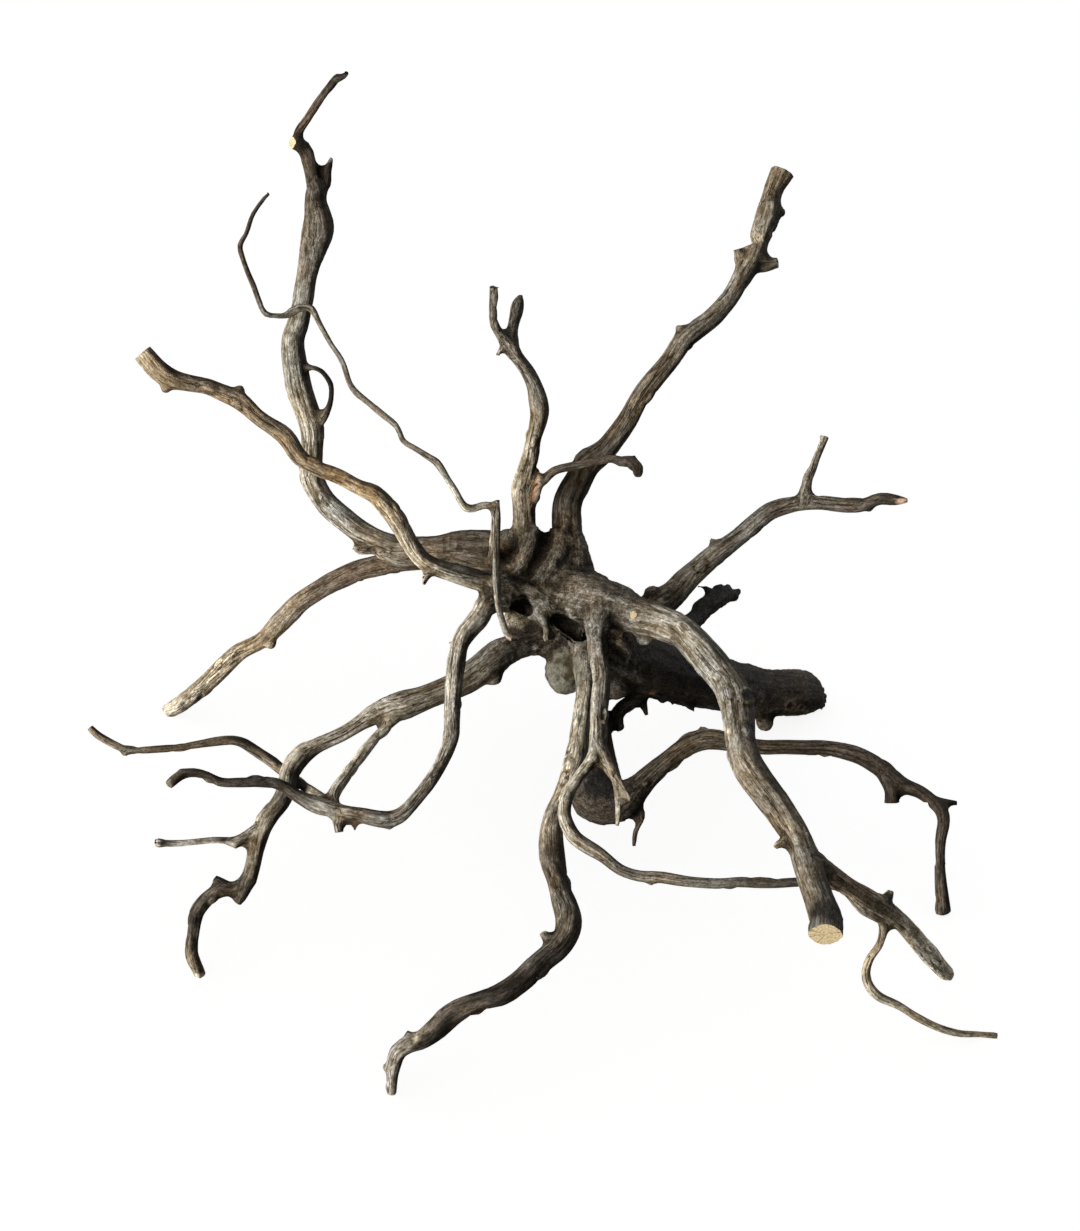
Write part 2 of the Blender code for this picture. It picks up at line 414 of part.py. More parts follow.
def tube_mesh():
    """All limbs as closed tubes, swollen by the crotch fillet."""
    curve = bpy.data.curves.new("limb_routes", "CURVE")
    curve.dimensions = "3D"
    curve.bevel_depth = MM
    curve.bevel_resolution = TUBE_SIDES_SETTING
    curve.use_fill_caps = True
    for name, stations in LIMBS.items():
        route = add_end(smooth_route(stations), name in SAWN_ENDS)
        spline = curve.splines.new("POLY")
        spline.points.add(len(route) - 1)
        for point, (position, radius) in zip(spline.points, route):
            point.co = (*position, 1.0)
            point.radius = radius + CROTCH_FILLET
    guide = bpy.data.objects.new("limb_routes", curve)
    bpy.context.scene.collection.objects.link(guide)
    evaluated = guide.evaluated_get(bpy.context.evaluated_depsgraph_get())
    mesh = bpy.data.meshes.new_from_object(evaluated)
    bpy.data.objects.remove(guide)
    return mesh


def body_mesh():
    """Tubes and lumps in one mesh, still passing through each other."""
    mesh = tube_mesh()
    bm = bmesh.new()
    bm.from_mesh(mesh)
    bmesh.ops.remove_doubles(bm, verts=bm.verts, dist=0.000001)
    for across, up, towards, radius in (lump for group in LUMPS.values() for lump in group):
        size = (true_size(radius, towards) + CROTCH_FILLET) * MM
        bmesh.ops.create_icosphere(bm, subdivisions=3, radius=size,
                                   matrix=Matrix.Translation(place(across, up, towards)))
    bm.to_mesh(mesh)
    bm.free()
    return mesh


def saw_cutters(bm):
    """A box past each sawn end, square across the limb."""
    for name in SAWN_ENDS:
        route = smooth_route(LIMBS[name])
        tip, radius = route[-1]
        heading = (tip - route[-2][0]).normalized()
        width = 6 * (radius + CROTCH_FILLET) * MM
        centre = tip + heading * CUTTER_DEPTH / 2 * MM
        size = Matrix.Diagonal((width, width, CUTTER_DEPTH * MM, 1.0))
        turn = heading.to_track_quat("Z", "Y").to_matrix().to_4x4()
        bmesh.ops.create_cube(bm, size=1.0, matrix=Matrix.Translation(centre) @ turn @ size)


def hollow_cutters(bm):
    """Ellipsoids that leave the two hollows in the crown, once the swelling is taken back."""
    plane = Matrix.Rotation(math.pi / 2 - SIGHT_RISE, 4, "X")
    for centre, half_lengths, turn in HOLLOWS:
        size = Matrix.Diagonal((*((half - CROTCH_FILLET) * MM for half in half_lengths), 1.0))
        roll = Matrix.Rotation(math.radians(turn), 4, "Z")
        bmesh.ops.create_icosphere(bm, subdivisions=3, radius=1.0,
                                   matrix=Matrix.Translation(place(*centre)) @ plane @ roll @ size)


def floor_cutter(bm):
    """A slab under the plane that the feet stand on."""
    span = FLOOR_CUTTER_SPAN * MM
    depth = CUTTER_DEPTH * MM
    size = Matrix.Diagonal((span, span, depth, 1.0))
    bmesh.ops.create_cube(bm, size=1.0, matrix=Matrix.Translation((0, 0, -depth / 2)) @ size)


def make_cutter(name, fill, collection):
    """A hidden wire object filled by one of the cutter functions."""
    mesh = bpy.data.meshes.new(name)
    bm = bmesh.new()
    fill(bm)
    bm.to_mesh(mesh)
    bm.free()
    cutter = bpy.data.objects.new(name, mesh)
    cutter.hide_render = True
    cutter.display_type = "WIRE"
    collection.objects.link(cutter)
    return cutter


def evaluated_mesh(obj):
    """The object's mesh with its modifiers applied."""
    evaluated = obj.evaluated_get(bpy.context.evaluated_depsgraph_get())
    return bpy.data.meshes.new_from_object(evaluated)


def apply_modifiers(obj):
    """Replace the object's mesh by its evaluated one."""
    mesh = evaluated_mesh(obj)
    obj.modifiers.clear()
    obj.data = mesh


def fuse(obj):
    """Melt everything in the mesh into one even skin."""
    remesh = obj.modifiers.new("fuse", "REMESH")
    remesh.mode = "VOXEL"
    remesh.voxel_size = VOXEL * MM
    apply_modifiers(obj)


def take_back_swelling(obj):
    """Shrink the skin by the swelling, which leaves a fillet in every crotch."""
    smooth = obj.modifiers.new("settle", "SMOOTH")
    smooth.factor = 0.5
    smooth.iterations = 4
    shrink = obj.modifiers.new("take_back_swelling", "DISPLACE")
    shrink.strength = -CROTCH_FILLET * MM
    shrink.mid_level = 0.0
    apply_modifiers(obj)


def thin_out(obj):
    """Bring the skin down to the target number of triangles."""
    triangles = sum(len(polygon.vertices) - 2 for polygon in obj.data.polygons)
    decimate = obj.modifiers.new("thin_out", "DECIMATE")
    decimate.ratio = TARGET_TRIANGLES / triangles
    decimate.use_collapse_triangulate = True
    apply_modifiers(obj)


def crossing_verts(bm):
    """Vertices of faces that pass through each other without sharing a corner."""
    bm.faces.ensure_lookup_table()
    tree = BVHTree.FromBMesh(bm)
    found = set()
    for first, second in tree.overlap(tree):
        corners = set(bm.faces[first].verts), set(bm.faces[second].verts)
        if not corners[0] & corners[1]:
            found |= corners[0] | corners[1]
    return found


def untangle(mesh):
    """Relax the few spots where thinning has folded the skin through itself."""
    bm = bmesh.new()
    bm.from_mesh(mesh)
    for _ in range(UNTANGLE_PASSES):
        tangled = crossing_verts(bm)
        if not tangled:
            break
        around = {edge.other_vert(vert) for vert in tangled for edge in vert.link_edges}
        bmesh.ops.smooth_vert(bm, verts=list(tangled | around), factor=0.5,
                              use_axis_x=True, use_axis_y=True, use_axis_z=True)
    bm.to_mesh(mesh)
    bm.free()


def cut(obj, cutter):
    """Take a cutter out of the solid. The exact solver tears this skin, so this isn't it."""
    boolean = obj.modifiers.new(cutter.name, "BOOLEAN")
    boolean.operation = "DIFFERENCE"
    boolean.solver = "MANIFOLD"
    boolean.object = cutter
    apply_modifiers(obj)


def keep_largest_body(mesh):
    """Drop any scrap that a cut has left loose."""
    bm = bmesh.new()
    bm.from_mesh(mesh)
    unseen = set(bm.verts)
    bodies = []
    while unseen:
        front = [unseen.pop()]
        body = set(front)
        while front:
            for edge in front.pop().link_edges:
                for vert in edge.verts:
                    if vert in unseen:
                        unseen.remove(vert)
                        body.add(vert)
                        front.append(vert)
        bodies.append(body)
    bodies.sort(key=len)
    for scrap in bodies[:-1]:
        bmesh.ops.delete(bm, geom=list(scrap), context="VERTS")
    bm.to_mesh(mesh)
    bm.free()


def weathered_wood():
    """Grey-brown, dry and matt."""
    material = bpy.data.materials.new("weathered_wood")
    material.use_nodes = True
    shader = material.node_tree.nodes["Principled BSDF"]
    shader.inputs["Base Color"].default_value = (0.140, 0.112, 0.088, 1.0)
    shader.inputs["Roughness"].default_value = 0.82
    shader.inputs["Metallic"].default_value = 0.0
    return material


def make_collection(name):
    collection = bpy.data.collections.new(name)
    bpy.context.scene.collection.children.link(collection)
    return collection


def main():
    for obj in list(bpy.data.objects):
        bpy.data.objects.remove(obj)
    parts = make_collection("driftwood_root")
    cutters = make_collection("cutters")

    root = bpy.data.objects.new("driftwood_root", body_mesh())
    parts.objects.link(root)
    fuse(root)
    cut(root, make_cutter("crown_hollows", hollow_cutters, cutters))
    fuse(root)
    take_back_swelling(root)
    thin_out(root)
    untangle(root.data)
    cut(root, make_cutter("saw_cuts", saw_cutters, cutters))
    cut(root, make_cutter("floor", floor_cutter, cutters))
    keep_largest_body(root.data)
    root.data.materials.clear()
    root.data.materials.append(weathered_wood())
    root.data.shade_smooth()
    root.data.set_sharp_from_angle(angle=math.radians(50))


main()
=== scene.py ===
# A weathered spider-wood root with its bark, grain, wounds and saw cuts.
#
# The solid root is the frame. The root shown is a finer skin over the same limbs: fluted and
# ridged along each limb's own grain, rough where the limbs meet, and sawn flat at its ends.

import contextlib
import functools
import itertools
import math

import bmesh
import bpy
import numpy as np
from mathutils import Matrix, Vector
from mathutils.bvhtree import BVHTree


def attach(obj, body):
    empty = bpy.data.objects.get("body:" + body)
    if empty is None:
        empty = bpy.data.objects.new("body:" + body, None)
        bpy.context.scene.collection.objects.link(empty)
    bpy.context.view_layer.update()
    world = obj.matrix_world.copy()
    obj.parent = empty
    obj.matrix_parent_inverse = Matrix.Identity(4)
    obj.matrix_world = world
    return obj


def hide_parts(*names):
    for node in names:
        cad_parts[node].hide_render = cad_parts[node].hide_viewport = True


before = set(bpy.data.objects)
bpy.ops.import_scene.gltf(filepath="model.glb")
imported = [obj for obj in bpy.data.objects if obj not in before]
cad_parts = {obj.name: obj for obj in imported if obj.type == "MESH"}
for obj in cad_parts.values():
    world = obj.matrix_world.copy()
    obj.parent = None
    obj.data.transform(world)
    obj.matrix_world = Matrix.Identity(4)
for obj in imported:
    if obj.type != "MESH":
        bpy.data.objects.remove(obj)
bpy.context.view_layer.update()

NODE = "driftwood_root"
MM = 0.001

# Layout frame
# The root is laid out on a plane through its crown that leans back, square to a line of
# sight a metre long. A station gives, in millimetres, how far it lies across and up that
# plane, how far it stands towards the viewer, and the limb's radius, all as seen on the
# plane: what stands nearer is truly smaller.
SIGHT_LENGTH = 1000.0
SIGHT_RISE = math.radians(35.0)
PLANE_UP = (0.0, math.sin(SIGHT_RISE), math.cos(SIGHT_RISE))
PLANE_OUT = (0.0, -math.cos(SIGHT_RISE), math.sin(SIGHT_RISE))
CROWN_HEIGHT = 113.0
FOOTPRINT_SHIFT = (4.7, 37.4)

# Limbs of the upper left
UPPER_LEFT = {
    "left_trunk": [
        (-5, 23, -5, 13), (-20, 29, -5, 12.2), (-30, 30.5, -8, 12), (-40, 32, -10, 10.3),
        (-50, 31.5, -12, 8.5), (-60, 32, -15, 7.5), (-70, 31.5, -18, 7), (-78, 33, -20, 5),
    ],
    "tall_limb": [
        (-68, 32, -18, 6), (-80, 36.8, -20, 5.8), (-88.5, 40.8, -22, 6.3), (-95, 45.3, -23, 6.3),
        (-100.5, 49.5, -24, 6.3), (-105.8, 54.5, -25, 6.2), (-109.8, 60, -25, 6.2), (-114, 69, -24, 6.2),
        (-113.5, 83, -22, 5.2), (-113.5, 93, -19, 6), (-116.5, 103, -16, 6), (-120, 113, -13, 6.3),
        (-122.5, 128, -8, 6), (-123, 138, -5, 5.5), (-120.5, 148, -3, 5.2), (-118.5, 158, 0, 5.2),
        (-116, 173, 2, 5.5), (-113.5, 183, 4, 7), (-111, 193, 6, 8.5), (-111, 198, 8, 8),
        (-112.5, 208, 10, 6), (-112, 213, 11, 6), (-114.4, 220.5, 14, 3.8), (-116, 228, 15, 4.1),
        (-118, 234, 16, 3.8), (-123.8, 236, 21, 2.7),
    ],
    "tall_limb_twig": [
        (-119, 234, 16, 2.8), (-121, 239, 18, 2.5), (-120.5, 242, 19, 2.5), (-116.5, 248, 22, 2.2),
        (-110, 258, 25, 2.1), (-103.5, 266.5, 28, 2.1), (-101, 269, 30, 2.2), (-98, 269.5, 32, 1.5),
        (-96, 272, 34, 1.1),
    ],
    "tall_limb_spur": [
        (-110.5, 211, 10, 3), (-107, 216, 12, 2.6), (-106.3, 222, 13, 2.1), (-105, 226, 14, 1.5),
        (-104, 229.7, 15, 0.8),
    ],
    "small_loop": [
        (-121, 125, -8, 2), (-116, 124.5, -6, 1.4), (-112.5, 123.8, -5, 1.4), (-109, 122, -4, 1.5),
        (-106.5, 119, -4, 1.5), (-104.5, 115.5, -5, 1.5), (-104.3, 110.5, -7, 1.5), (-105, 106, -9, 1.6),
        (-106.5, 102.5, -11, 2), (-108.5, 99, -14, 2.6), (-112, 95, -18, 3),
    ],
    "crotch_splinter": [(-84, 34, -21, 3.5), (-90.5, 33, -21, 2.6), (-93.5, 34.5, -21, 1.2)],
    "front_left_limb": [
        (-12, 13, 8, 7), (-22.5, 15.5, 17, 6), (-32.5, 18, 24, 4.8), (-42.5, 21, 28, 4.8),
        (-51.5, 24, 30, 4.8), (-57.5, 27, 31, 4.7), (-62.5, 32.5, 32, 4.8), (-68.5, 43, 34, 4.5),
        (-72.5, 49.5, 35, 4.8), (-77.5, 55.5, 36, 4.8), (-83, 61, 37, 4.6), (-91, 64.5, 37.5, 3.9),
        (-100, 69.3, 38, 3.6), (-110, 73, 39, 3.6), (-120, 79, 40, 4), (-127.5, 89.5, 41, 4.5),
        (-140, 98.5, 42, 4.2), (-150, 107.5, 42, 4.6), (-160, 112, 43, 4.2), (-165.5, 114.5, 44, 3.9),
        (-175.5, 116, 45, 4.3), (-184, 118, 47, 5), (-190.5, 122.5, 50, 5.2), (-198.5, 131.5, 52, 4.9),
    ],
    "front_left_stub": [(-52, 23.5, 31, 2), (-56.5, 20, 34, 1.3), (-59.5, 18.5, 35, 0.9)],
    "front_left_stub_tip": [(-55.5, 20.5, 33, 1.3), (-58.5, 15, 35, 0.9)],
    "back_left_root": [
        (-58, 30, -20, 6), (-70, 27.5, -28, 5.5), (-80, 25.5, -36, 5.5), (-90, 23, -43, 5.2),
        (-100, 18.5, -50, 5.1), (-110, 13, -60, 4.8), (-120, 6.5, -70, 5), (-129.5, -3, -80, 5),
        (-139, -12, -88, 4), (-150, -18, -95, 4.2), (-160, -27.5, -101, 4.7), (-170, -37, -107, 4.5),
        (-180, -44.5, -112, 4), (-185.5, -47.5, -116.4, 3.6),
    ],
    "long_twig": [
        (-23.5, 28, 6, 3), (-23, 34, 19, 2.6), (-22.5, 42, 32, 2.4), (-22.5, 50, 43, 2.2),
        (-24.5, 54.8, 48, 2), (-29, 55, 50, 2), (-33.5, 53.5, 51, 2.1), (-37, 54, 52, 2.2),
        (-39.5, 57, 53, 1.9), (-42.5, 62.5, 54, 1.8), (-46, 68, 55, 1.7), (-51.5, 76.5, 56, 2),
        (-54.5, 78.5, 56, 1.9), (-62.5, 83.5, 55, 1.8), (-68.5, 87.5, 53, 1.6), (-70, 91, 52, 1.5),
        (-72.5, 95.5, 50, 1.6), (-77.5, 99.5, 48, 1.6), (-87, 107.5, 45, 1.6), (-91.5, 111, 44, 1.7),
        (-95, 116, 42, 1.6), (-99, 127.5, 38, 1.6), (-105, 136.5, 35, 1.5), (-110.5, 146.5, 33, 1.6),
        (-114, 153.5, 31, 1.9), (-116.5, 154.3, 30, 1.8), (-120, 154, 29, 2.2), (-124.5, 151.5, 28, 2.4),
        (-127.5, 149.8, 28, 1.6), (-132.5, 150, 29, 1.4), (-137, 150.5, 30, 1.5), (-139.5, 154.5, 31, 1.6),
        (-142, 161.5, 33, 1.6), (-143.5, 165.5, 35, 1.7), (-146, 171.5, 38, 1.5), (-148, 177, 40, 1.5),
        (-150, 185, 44, 1.6), (-147, 190.5, 47, 1.3), (-145.5, 195, 49, 1.3), (-143.5, 200.5, 51, 1.2),
        (-138, 208.5, 54, 1.1), (-135, 211.5, 56, 0.8),
    ],
    "hanging_stick": [
        (-21, 59.3, 50, 0.9), (-21.3, 55, 48.5, 1.4), (-21.5, 49, 44, 2), (-21.8, 40, 37, 2.1),
        (-21.8, 30, 31, 2), (-21.8, 18, 29, 1.9), (-21, 8, 31, 1.8), (-19.8, 0.5, 34, 1.8),
        (-17.8, -6, 37, 1.8), (-15.5, -10.5, 39, 1.7), (-13, -12.5, 41, 1),
    ],
}

# Limbs of the top and the right
UPPER_RIGHT = {
    "middle_limb": [
        (-7.5, 33, 0, 8), (-7.5, 43, 2, 6.2), (-8, 55, 5, 5.6), (-9, 63.3, 8, 5.5), (-7, 71.5, 12, 4.6),
        (-4.8, 78.5, 16, 4.5), (-3.3, 88, 23, 4.1), (-0.8, 98, 30, 4.5), (-0.3, 103.5, 34, 4.7),
        (-1.8, 111.5, 41, 4.3), (-5.3, 120, 46, 3.8), (-10.5, 128, 48, 3.4), (-15, 134, 49, 4.1),
        (-19, 140, 51, 3.2), (-23, 145.5, 55, 2.5), (-23.5, 152, 58, 2.3), (-23.5, 158, 60, 2.2),
        (-23, 164, 62, 2.5),
    ],
    "middle_limb_tine": [
        (-13, 131, 48, 3.4), (-14.5, 138, 48, 4), (-13.4, 144, 45, 3), (-12, 149.5, 43, 3.1),
        (-11, 154, 41, 3.5), (-10, 158, 39, 2.4), (-9.4, 160.6, 38, 1),
    ],
    "middle_limb_curl": [(-16, 134, 50, 2), (-20, 132.5, 52, 1.1), (-21.5, 129.5, 53, 0.9)],
    "hook_twig": [
        (-5, 57, 7, 3), (-1.5, 64, 12, 2.5), (2.5, 68, 15, 2.3), (7, 72.3, 19, 2.1), (15.5, 74.5, 24, 2.2),
        (21.5, 75.5, 28, 2.2), (31, 77.5, 32, 2.1), (36.5, 78.5, 34, 2.1), (40, 77, 35, 2.5),
        (44.8, 77, 38, 3), (49, 74.3, 40, 3), (49, 70.8, 42, 2.7),
    ],
    "hook_twig_nib": [(46, 78, 38, 1.6), (48.5, 80, 39, 0.9)],
    "top_right_limb": [
        (17.5, 13, -2, 11), (16.5, 25.5, -2, 9.5), (14.5, 37.5, -3, 8), (13.7, 48, -4, 7.7),
        (14.3, 58, -3, 7.6), (19.3, 68, -2, 7), (24, 75.5, -1, 6.5), (33, 83, 0, 5.4), (42.8, 96, 1, 5.2),
        (49.5, 108, 3, 5.3), (57, 118, 4, 5.1), (65.5, 128, 4, 4.9), (72.5, 138, 4, 5.5),
        (84.8, 148, 2, 5), (94.3, 158, 0, 4.4), (100.5, 168, -2, 5.4), (106.5, 178.3, -4, 5.8),
        (109.8, 188, -6, 5.2), (112.8, 197, -8.5, 6.4), (114.3, 203.5, -10.5, 6), (115.3, 208.5, -12, 5.3),
        (116.8, 213.5, -14, 5.3), (120.5, 221, -17, 6.4),
    ],
    "top_right_left_stub": [(103, 173, -3, 3.4), (99.8, 178.5, -2, 2.7), (98.5, 183, -1, 2.2)],
    "top_right_right_stub": [(108, 176, -4, 4.6), (113.5, 175.8, -6, 4), (118.5, 176.6, -7, 2.6)],
    "right_limb": [
        (44, -4, -20, 9), (57, 4, -33, 8.5), (67, 11, -40, 7), (73, 18, -42, 6), (80, 24, -44, 5.2),
        (90, 32.2, -44, 5.2), (100, 39.8, -43, 4.8), (110, 48.3, -41, 4.6), (115, 52, -39, 4.7),
        (125, 55.3, -35, 4.3), (130, 56, -33, 3.8), (140, 56.5, -30, 3.7), (150, 55.4, -26, 3.9),
        (160, 55.2, -23, 4), (164, 56.5, -21, 3.3), (170, 58.5, -18, 3.5), (176.5, 57.8, -15, 2.9),
        (182, 57.5, -13, 1.7), (184.5, 57.5, -12, 0.9),
    ],
    "right_limb_twig": [
        (132, 58, -32, 4), (134, 68, -34, 2.5), (136.3, 73, -36, 2.1), (138, 78, -37, 1.9),
        (140.3, 83.5, -39, 1.9), (142.3, 89, -41, 2.2),
    ],
    "right_limb_spur": [(89, 33, -44, 3), (86.5, 37, -43.5, 1.8), (84.7, 38.3, -43, 0.9)],
    "dark_stub": [
        (48, -12, -28, 8), (64, -9, -44, 6.5), (76.5, -3, -58, 5), (82.3, 3.3, -66, 5.2),
        (88.3, 8.2, -74, 5), (93, 10.2, -80, 4), (97.3, 10, -84, 3),
    ],
    "dark_stub_prong": [(88, 10, -75, 3.4), (93.3, 13.2, -80, 1.3)],
    "forward_limb": [
        (10, 11, 4, 10), (28, 8, 13, 11), (39.5, 3.5, 18, 11), (51, -1, 24, 10), (61, -3.5, 31, 9),
        (70.5, -7.5, 40, 8.8), (80, -17, 50, 8.6), (88, -26.5, 60, 8.5), (95, -35.5, 70, 8.4),
        (98.5, -44.5, 80, 8.6), (99.7, -54, 90, 8), (100.5, -63, 99, 7.8), (103, -73, 108, 8.4),
        (109, -83, 117, 8.4), (117, -93.5, 125, 7.8), (124, -104, 133, 7), (129.8, -114, 141, 6.8),
        (133.8, -124, 149, 7.2), (137, -134.5, 157, 7), (140.5, -144.5, 165, 7.4), (143, -153, 172, 8.4),
        (142.5, -159.5, 177, 8.4),
    ],
    "forward_limb_spur": [(124, -112, 138, 3.4), (118.5, -115, 141, 2), (117, -116.5, 141, 1.4)],
}

# Roots of the front and the right
FRONT_ROOTS = {
    "right_foot_root": [
        (136, -123, 149, 6.5), (147, -131, 139, 5.6), (159.5, -139.5, 126, 5.3), (170, -146, 113, 5.1),
        (180.5, -153.7, 99, 4.9), (190, -163.7, 82, 4.6), (197, -172, 64.8, 4.2), (203, -179.2, 47.7, 4.1),
    ],
    "right_foot_spur": [(172, -144, 111, 3.6), (175, -139, 112, 2.2), (175.7, -137, 112, 1.3)],
    "trailing_root": [
        (156, -140, 127, 3), (161, -147.5, 120, 1.9), (166.5, -150.5, 115, 2), (171, -153.5, 109, 2.2),
        (171.5, -158, 105, 2.2), (169.5, -165, 100, 2.1), (165, -171.5, 97, 2.2), (163, -178, 95, 2.4),
        (164.5, -185, 95, 2.5), (169.5, -190.5, 95, 2.4), (178.5, -194.5, 93, 2.1), (189, -201, 90, 2.1),
        (200, -206.3, 86.8, 1.9), (210, -209, 84.2, 1.8), (220, -209.5, 82.1, 1.7),
        (228.5, -210.3, 80.1, 1.7),
    ],
    "stump": [
        (20, -10, -6, 17), (45, -20.5, -22, 17.2), (60, -26, -40, 16.3), (80, -31.7, -62, 14.4),
        (90, -34.3, -74, 13.6), (100, -37, -86, 13), (110, -38.5, -97.5, 12.2), (120, -39, -107, 12),
        (128, -39, -115, 12), (134, -40, -119.5, 10.6), (138, -41.2, -122, 7.6), (140.3, -42, -123.5, 4.2),
    ],
    "stump_nib": [(136.5, -42, -120, 4), (141.8, -46.5, -120, 1.2)],
    "stump_rootlet": [
        (52, -34, -30, 5), (46, -43, -28, 4), (41, -46.5, -26, 3.5), (38.5, -50, -24, 3),
        (39, -54, -22, 2.7), (40.2, -56.5, -21, 2.4),
    ],
    "stump_thorn": [(50, -40, -32, 2.2), (52.5, -47, -32, 1.6), (53.5, -50.5, -32, 0.9)],
    "front_leg": [
        (24, -12, 6, 9), (23, -24, 12, 6.8), (22.5, -34, 18, 5.2), (22, -42, 22, 4.8),
        (19.5, -62, 32, 4.8), (18, -72, 38, 5.2), (14.7, -82, 44, 5.4), (10.7, -92, 50, 5.6),
        (6.8, -102, 56, 5.8), (5.8, -112, 62, 6.5), (6.5, -122, 67, 6.4), (8.8, -132, 74, 5.9),
        (11.5, -142, 81, 6.5), (14.3, -152, 88, 7.2), (13, -159.5, 94, 7), (8.7, -166.5, 99, 6.6),
        (0, -174, 105, 6), (-10, -183.3, 110, 6), (-20, -190, 112, 5.9), (-30, -193, 113, 5.3),
        (-40, -197, 113, 6), (-45, -200, 113, 6.3), (-52, -206.5, 113, 6.1), (-60, -212.5, 113, 5.3),
        (-65, -214, 113, 5.2), (-71, -218, 112.5, 5.1), (-73.5, -227, 111, 3.8), (-74.2, -236.3, 108, 3),
        (-74.5, -241, 105, 2.8),
    ],
    "front_leg_spur": [(6.5, -164.5, 96, 3.6), (3, -161, 98, 2.4), (1.5, -158.7, 98.5, 2)],
    "front_leg_upper_thorn": [(-47, -202, 114, 2.6), (-51.5, -197.5, 116, 1)],
    "front_leg_lower_thorn": [(-62, -213, 114, 2), (-67.3, -207.5, 115, 1)],
    "fork_root": [
        (32, 2, 18, 9), (29.5, -4, 24, 7.2), (28.5, -11, 27, 5.2), (29.5, -22, 31, 4.4),
        (30.8, -32, 35, 4.4), (29.8, -42, 39, 4.7), (29.3, -52, 44, 4.8), (29.3, -62, 50, 4.9),
        (27.5, -70.5, 55, 4.3), (24, -75, 58, 3.5), (18.5, -82, 63, 3.1), (13.3, -92, 70, 3.3),
        (12.5, -101, 76, 3.6), (16.5, -110, 81, 3.7), (23, -115, 85, 3.6), (31, -120, 88, 3.5),
        (40, -127, 90, 2.9), (50, -130.2, 92, 2.9), (60, -130.8, 94, 3), (70, -132.5, 97, 2.9),
        (80, -133.5, 100, 2.8), (90, -134, 102, 2.6), (100, -133.3, 104, 2.6), (110, -133.8, 107, 2.5),
        (120, -133.8, 110, 2.4), (131, -133.3, 113, 2.3),
    ],
    "fork_root_thorn": [(55.3, -131.5, 93, 2), (56, -135.8, 93.5, 0.9)],
    "fork_right_tine": [
        (29.5, -66, 53, 4.4), (34.5, -76, 59, 3.3), (38.3, -82, 63, 2.9), (39, -89, 67, 2.1),
        (39.3, -96, 71, 1.8), (39, -102, 73, 1.5), (38.3, -106, 74, 0.9),
    ],
    "fork_splinter": [(37, -79.5, 64, 2.6), (42, -87.5, 69, 1.5), (46, -93, 72, 0.9)],
    "elbow_root": [
        (26, -20, -12, 10), (26, -45, -18, 8), (27.5, -62, -16, 8.5), (28.5, -77, -8, 10.8),
        (29.5, -90.3, 0, 13.1), (40, -92.8, 3, 10.2), (48, -87, 5, 7.6), (56, -79, 7, 5.6),
        (66.5, -70, 8, 5.3), (76.5, -63.5, 8, 5.6), (84.5, -62, 8, 5.5), (96, -63.5, 7, 4.7),
        (110, -65.8, 5, 3.9), (127.5, -66, 2, 3.8), (143, -66.5, 0, 3.9), (150, -67.7, 0, 4.1),
        (160, -70.5, 0, 4.4), (170, -76.3, 1, 4.4), (180, -84, 4, 4.3), (190, -88, 6, 3.6),
        (196, -92.5, 8, 3.5), (201, -97.8, 11, 3.6), (202, -103, 13, 3.2), (200.5, -112, 16, 2.9),
        (200, -122, 18, 2.9), (200.3, -132, 19, 3), (201.3, -142, 16, 3.3), (201.8, -147.8, 13, 3.8),
    ],
    "elbow_root_stub": [(172.5, -80, 2, 4), (175.5, -87, 4, 3.5), (176, -93.5, 4, 4)],
    "elbow_root_spur": [(196, -92.5, 8.5, 3), (203, -93.5, 8, 2), (209, -93.8, 7, 1.1)],
    "elbow_root_thorn": [(81, -58.5, 8, 2), (81, -54.7, 8, 0.9)],
    "elbow_rootlet": [
        (46, -93, 4, 5), (50.5, -100.5, 4, 2.4), (49.5, -104.5, 5, 1.6), (47.8, -108, 5, 1.5),
        (47.2, -113, 6, 1.2), (47, -116, 6, 0.9),
    ],
}

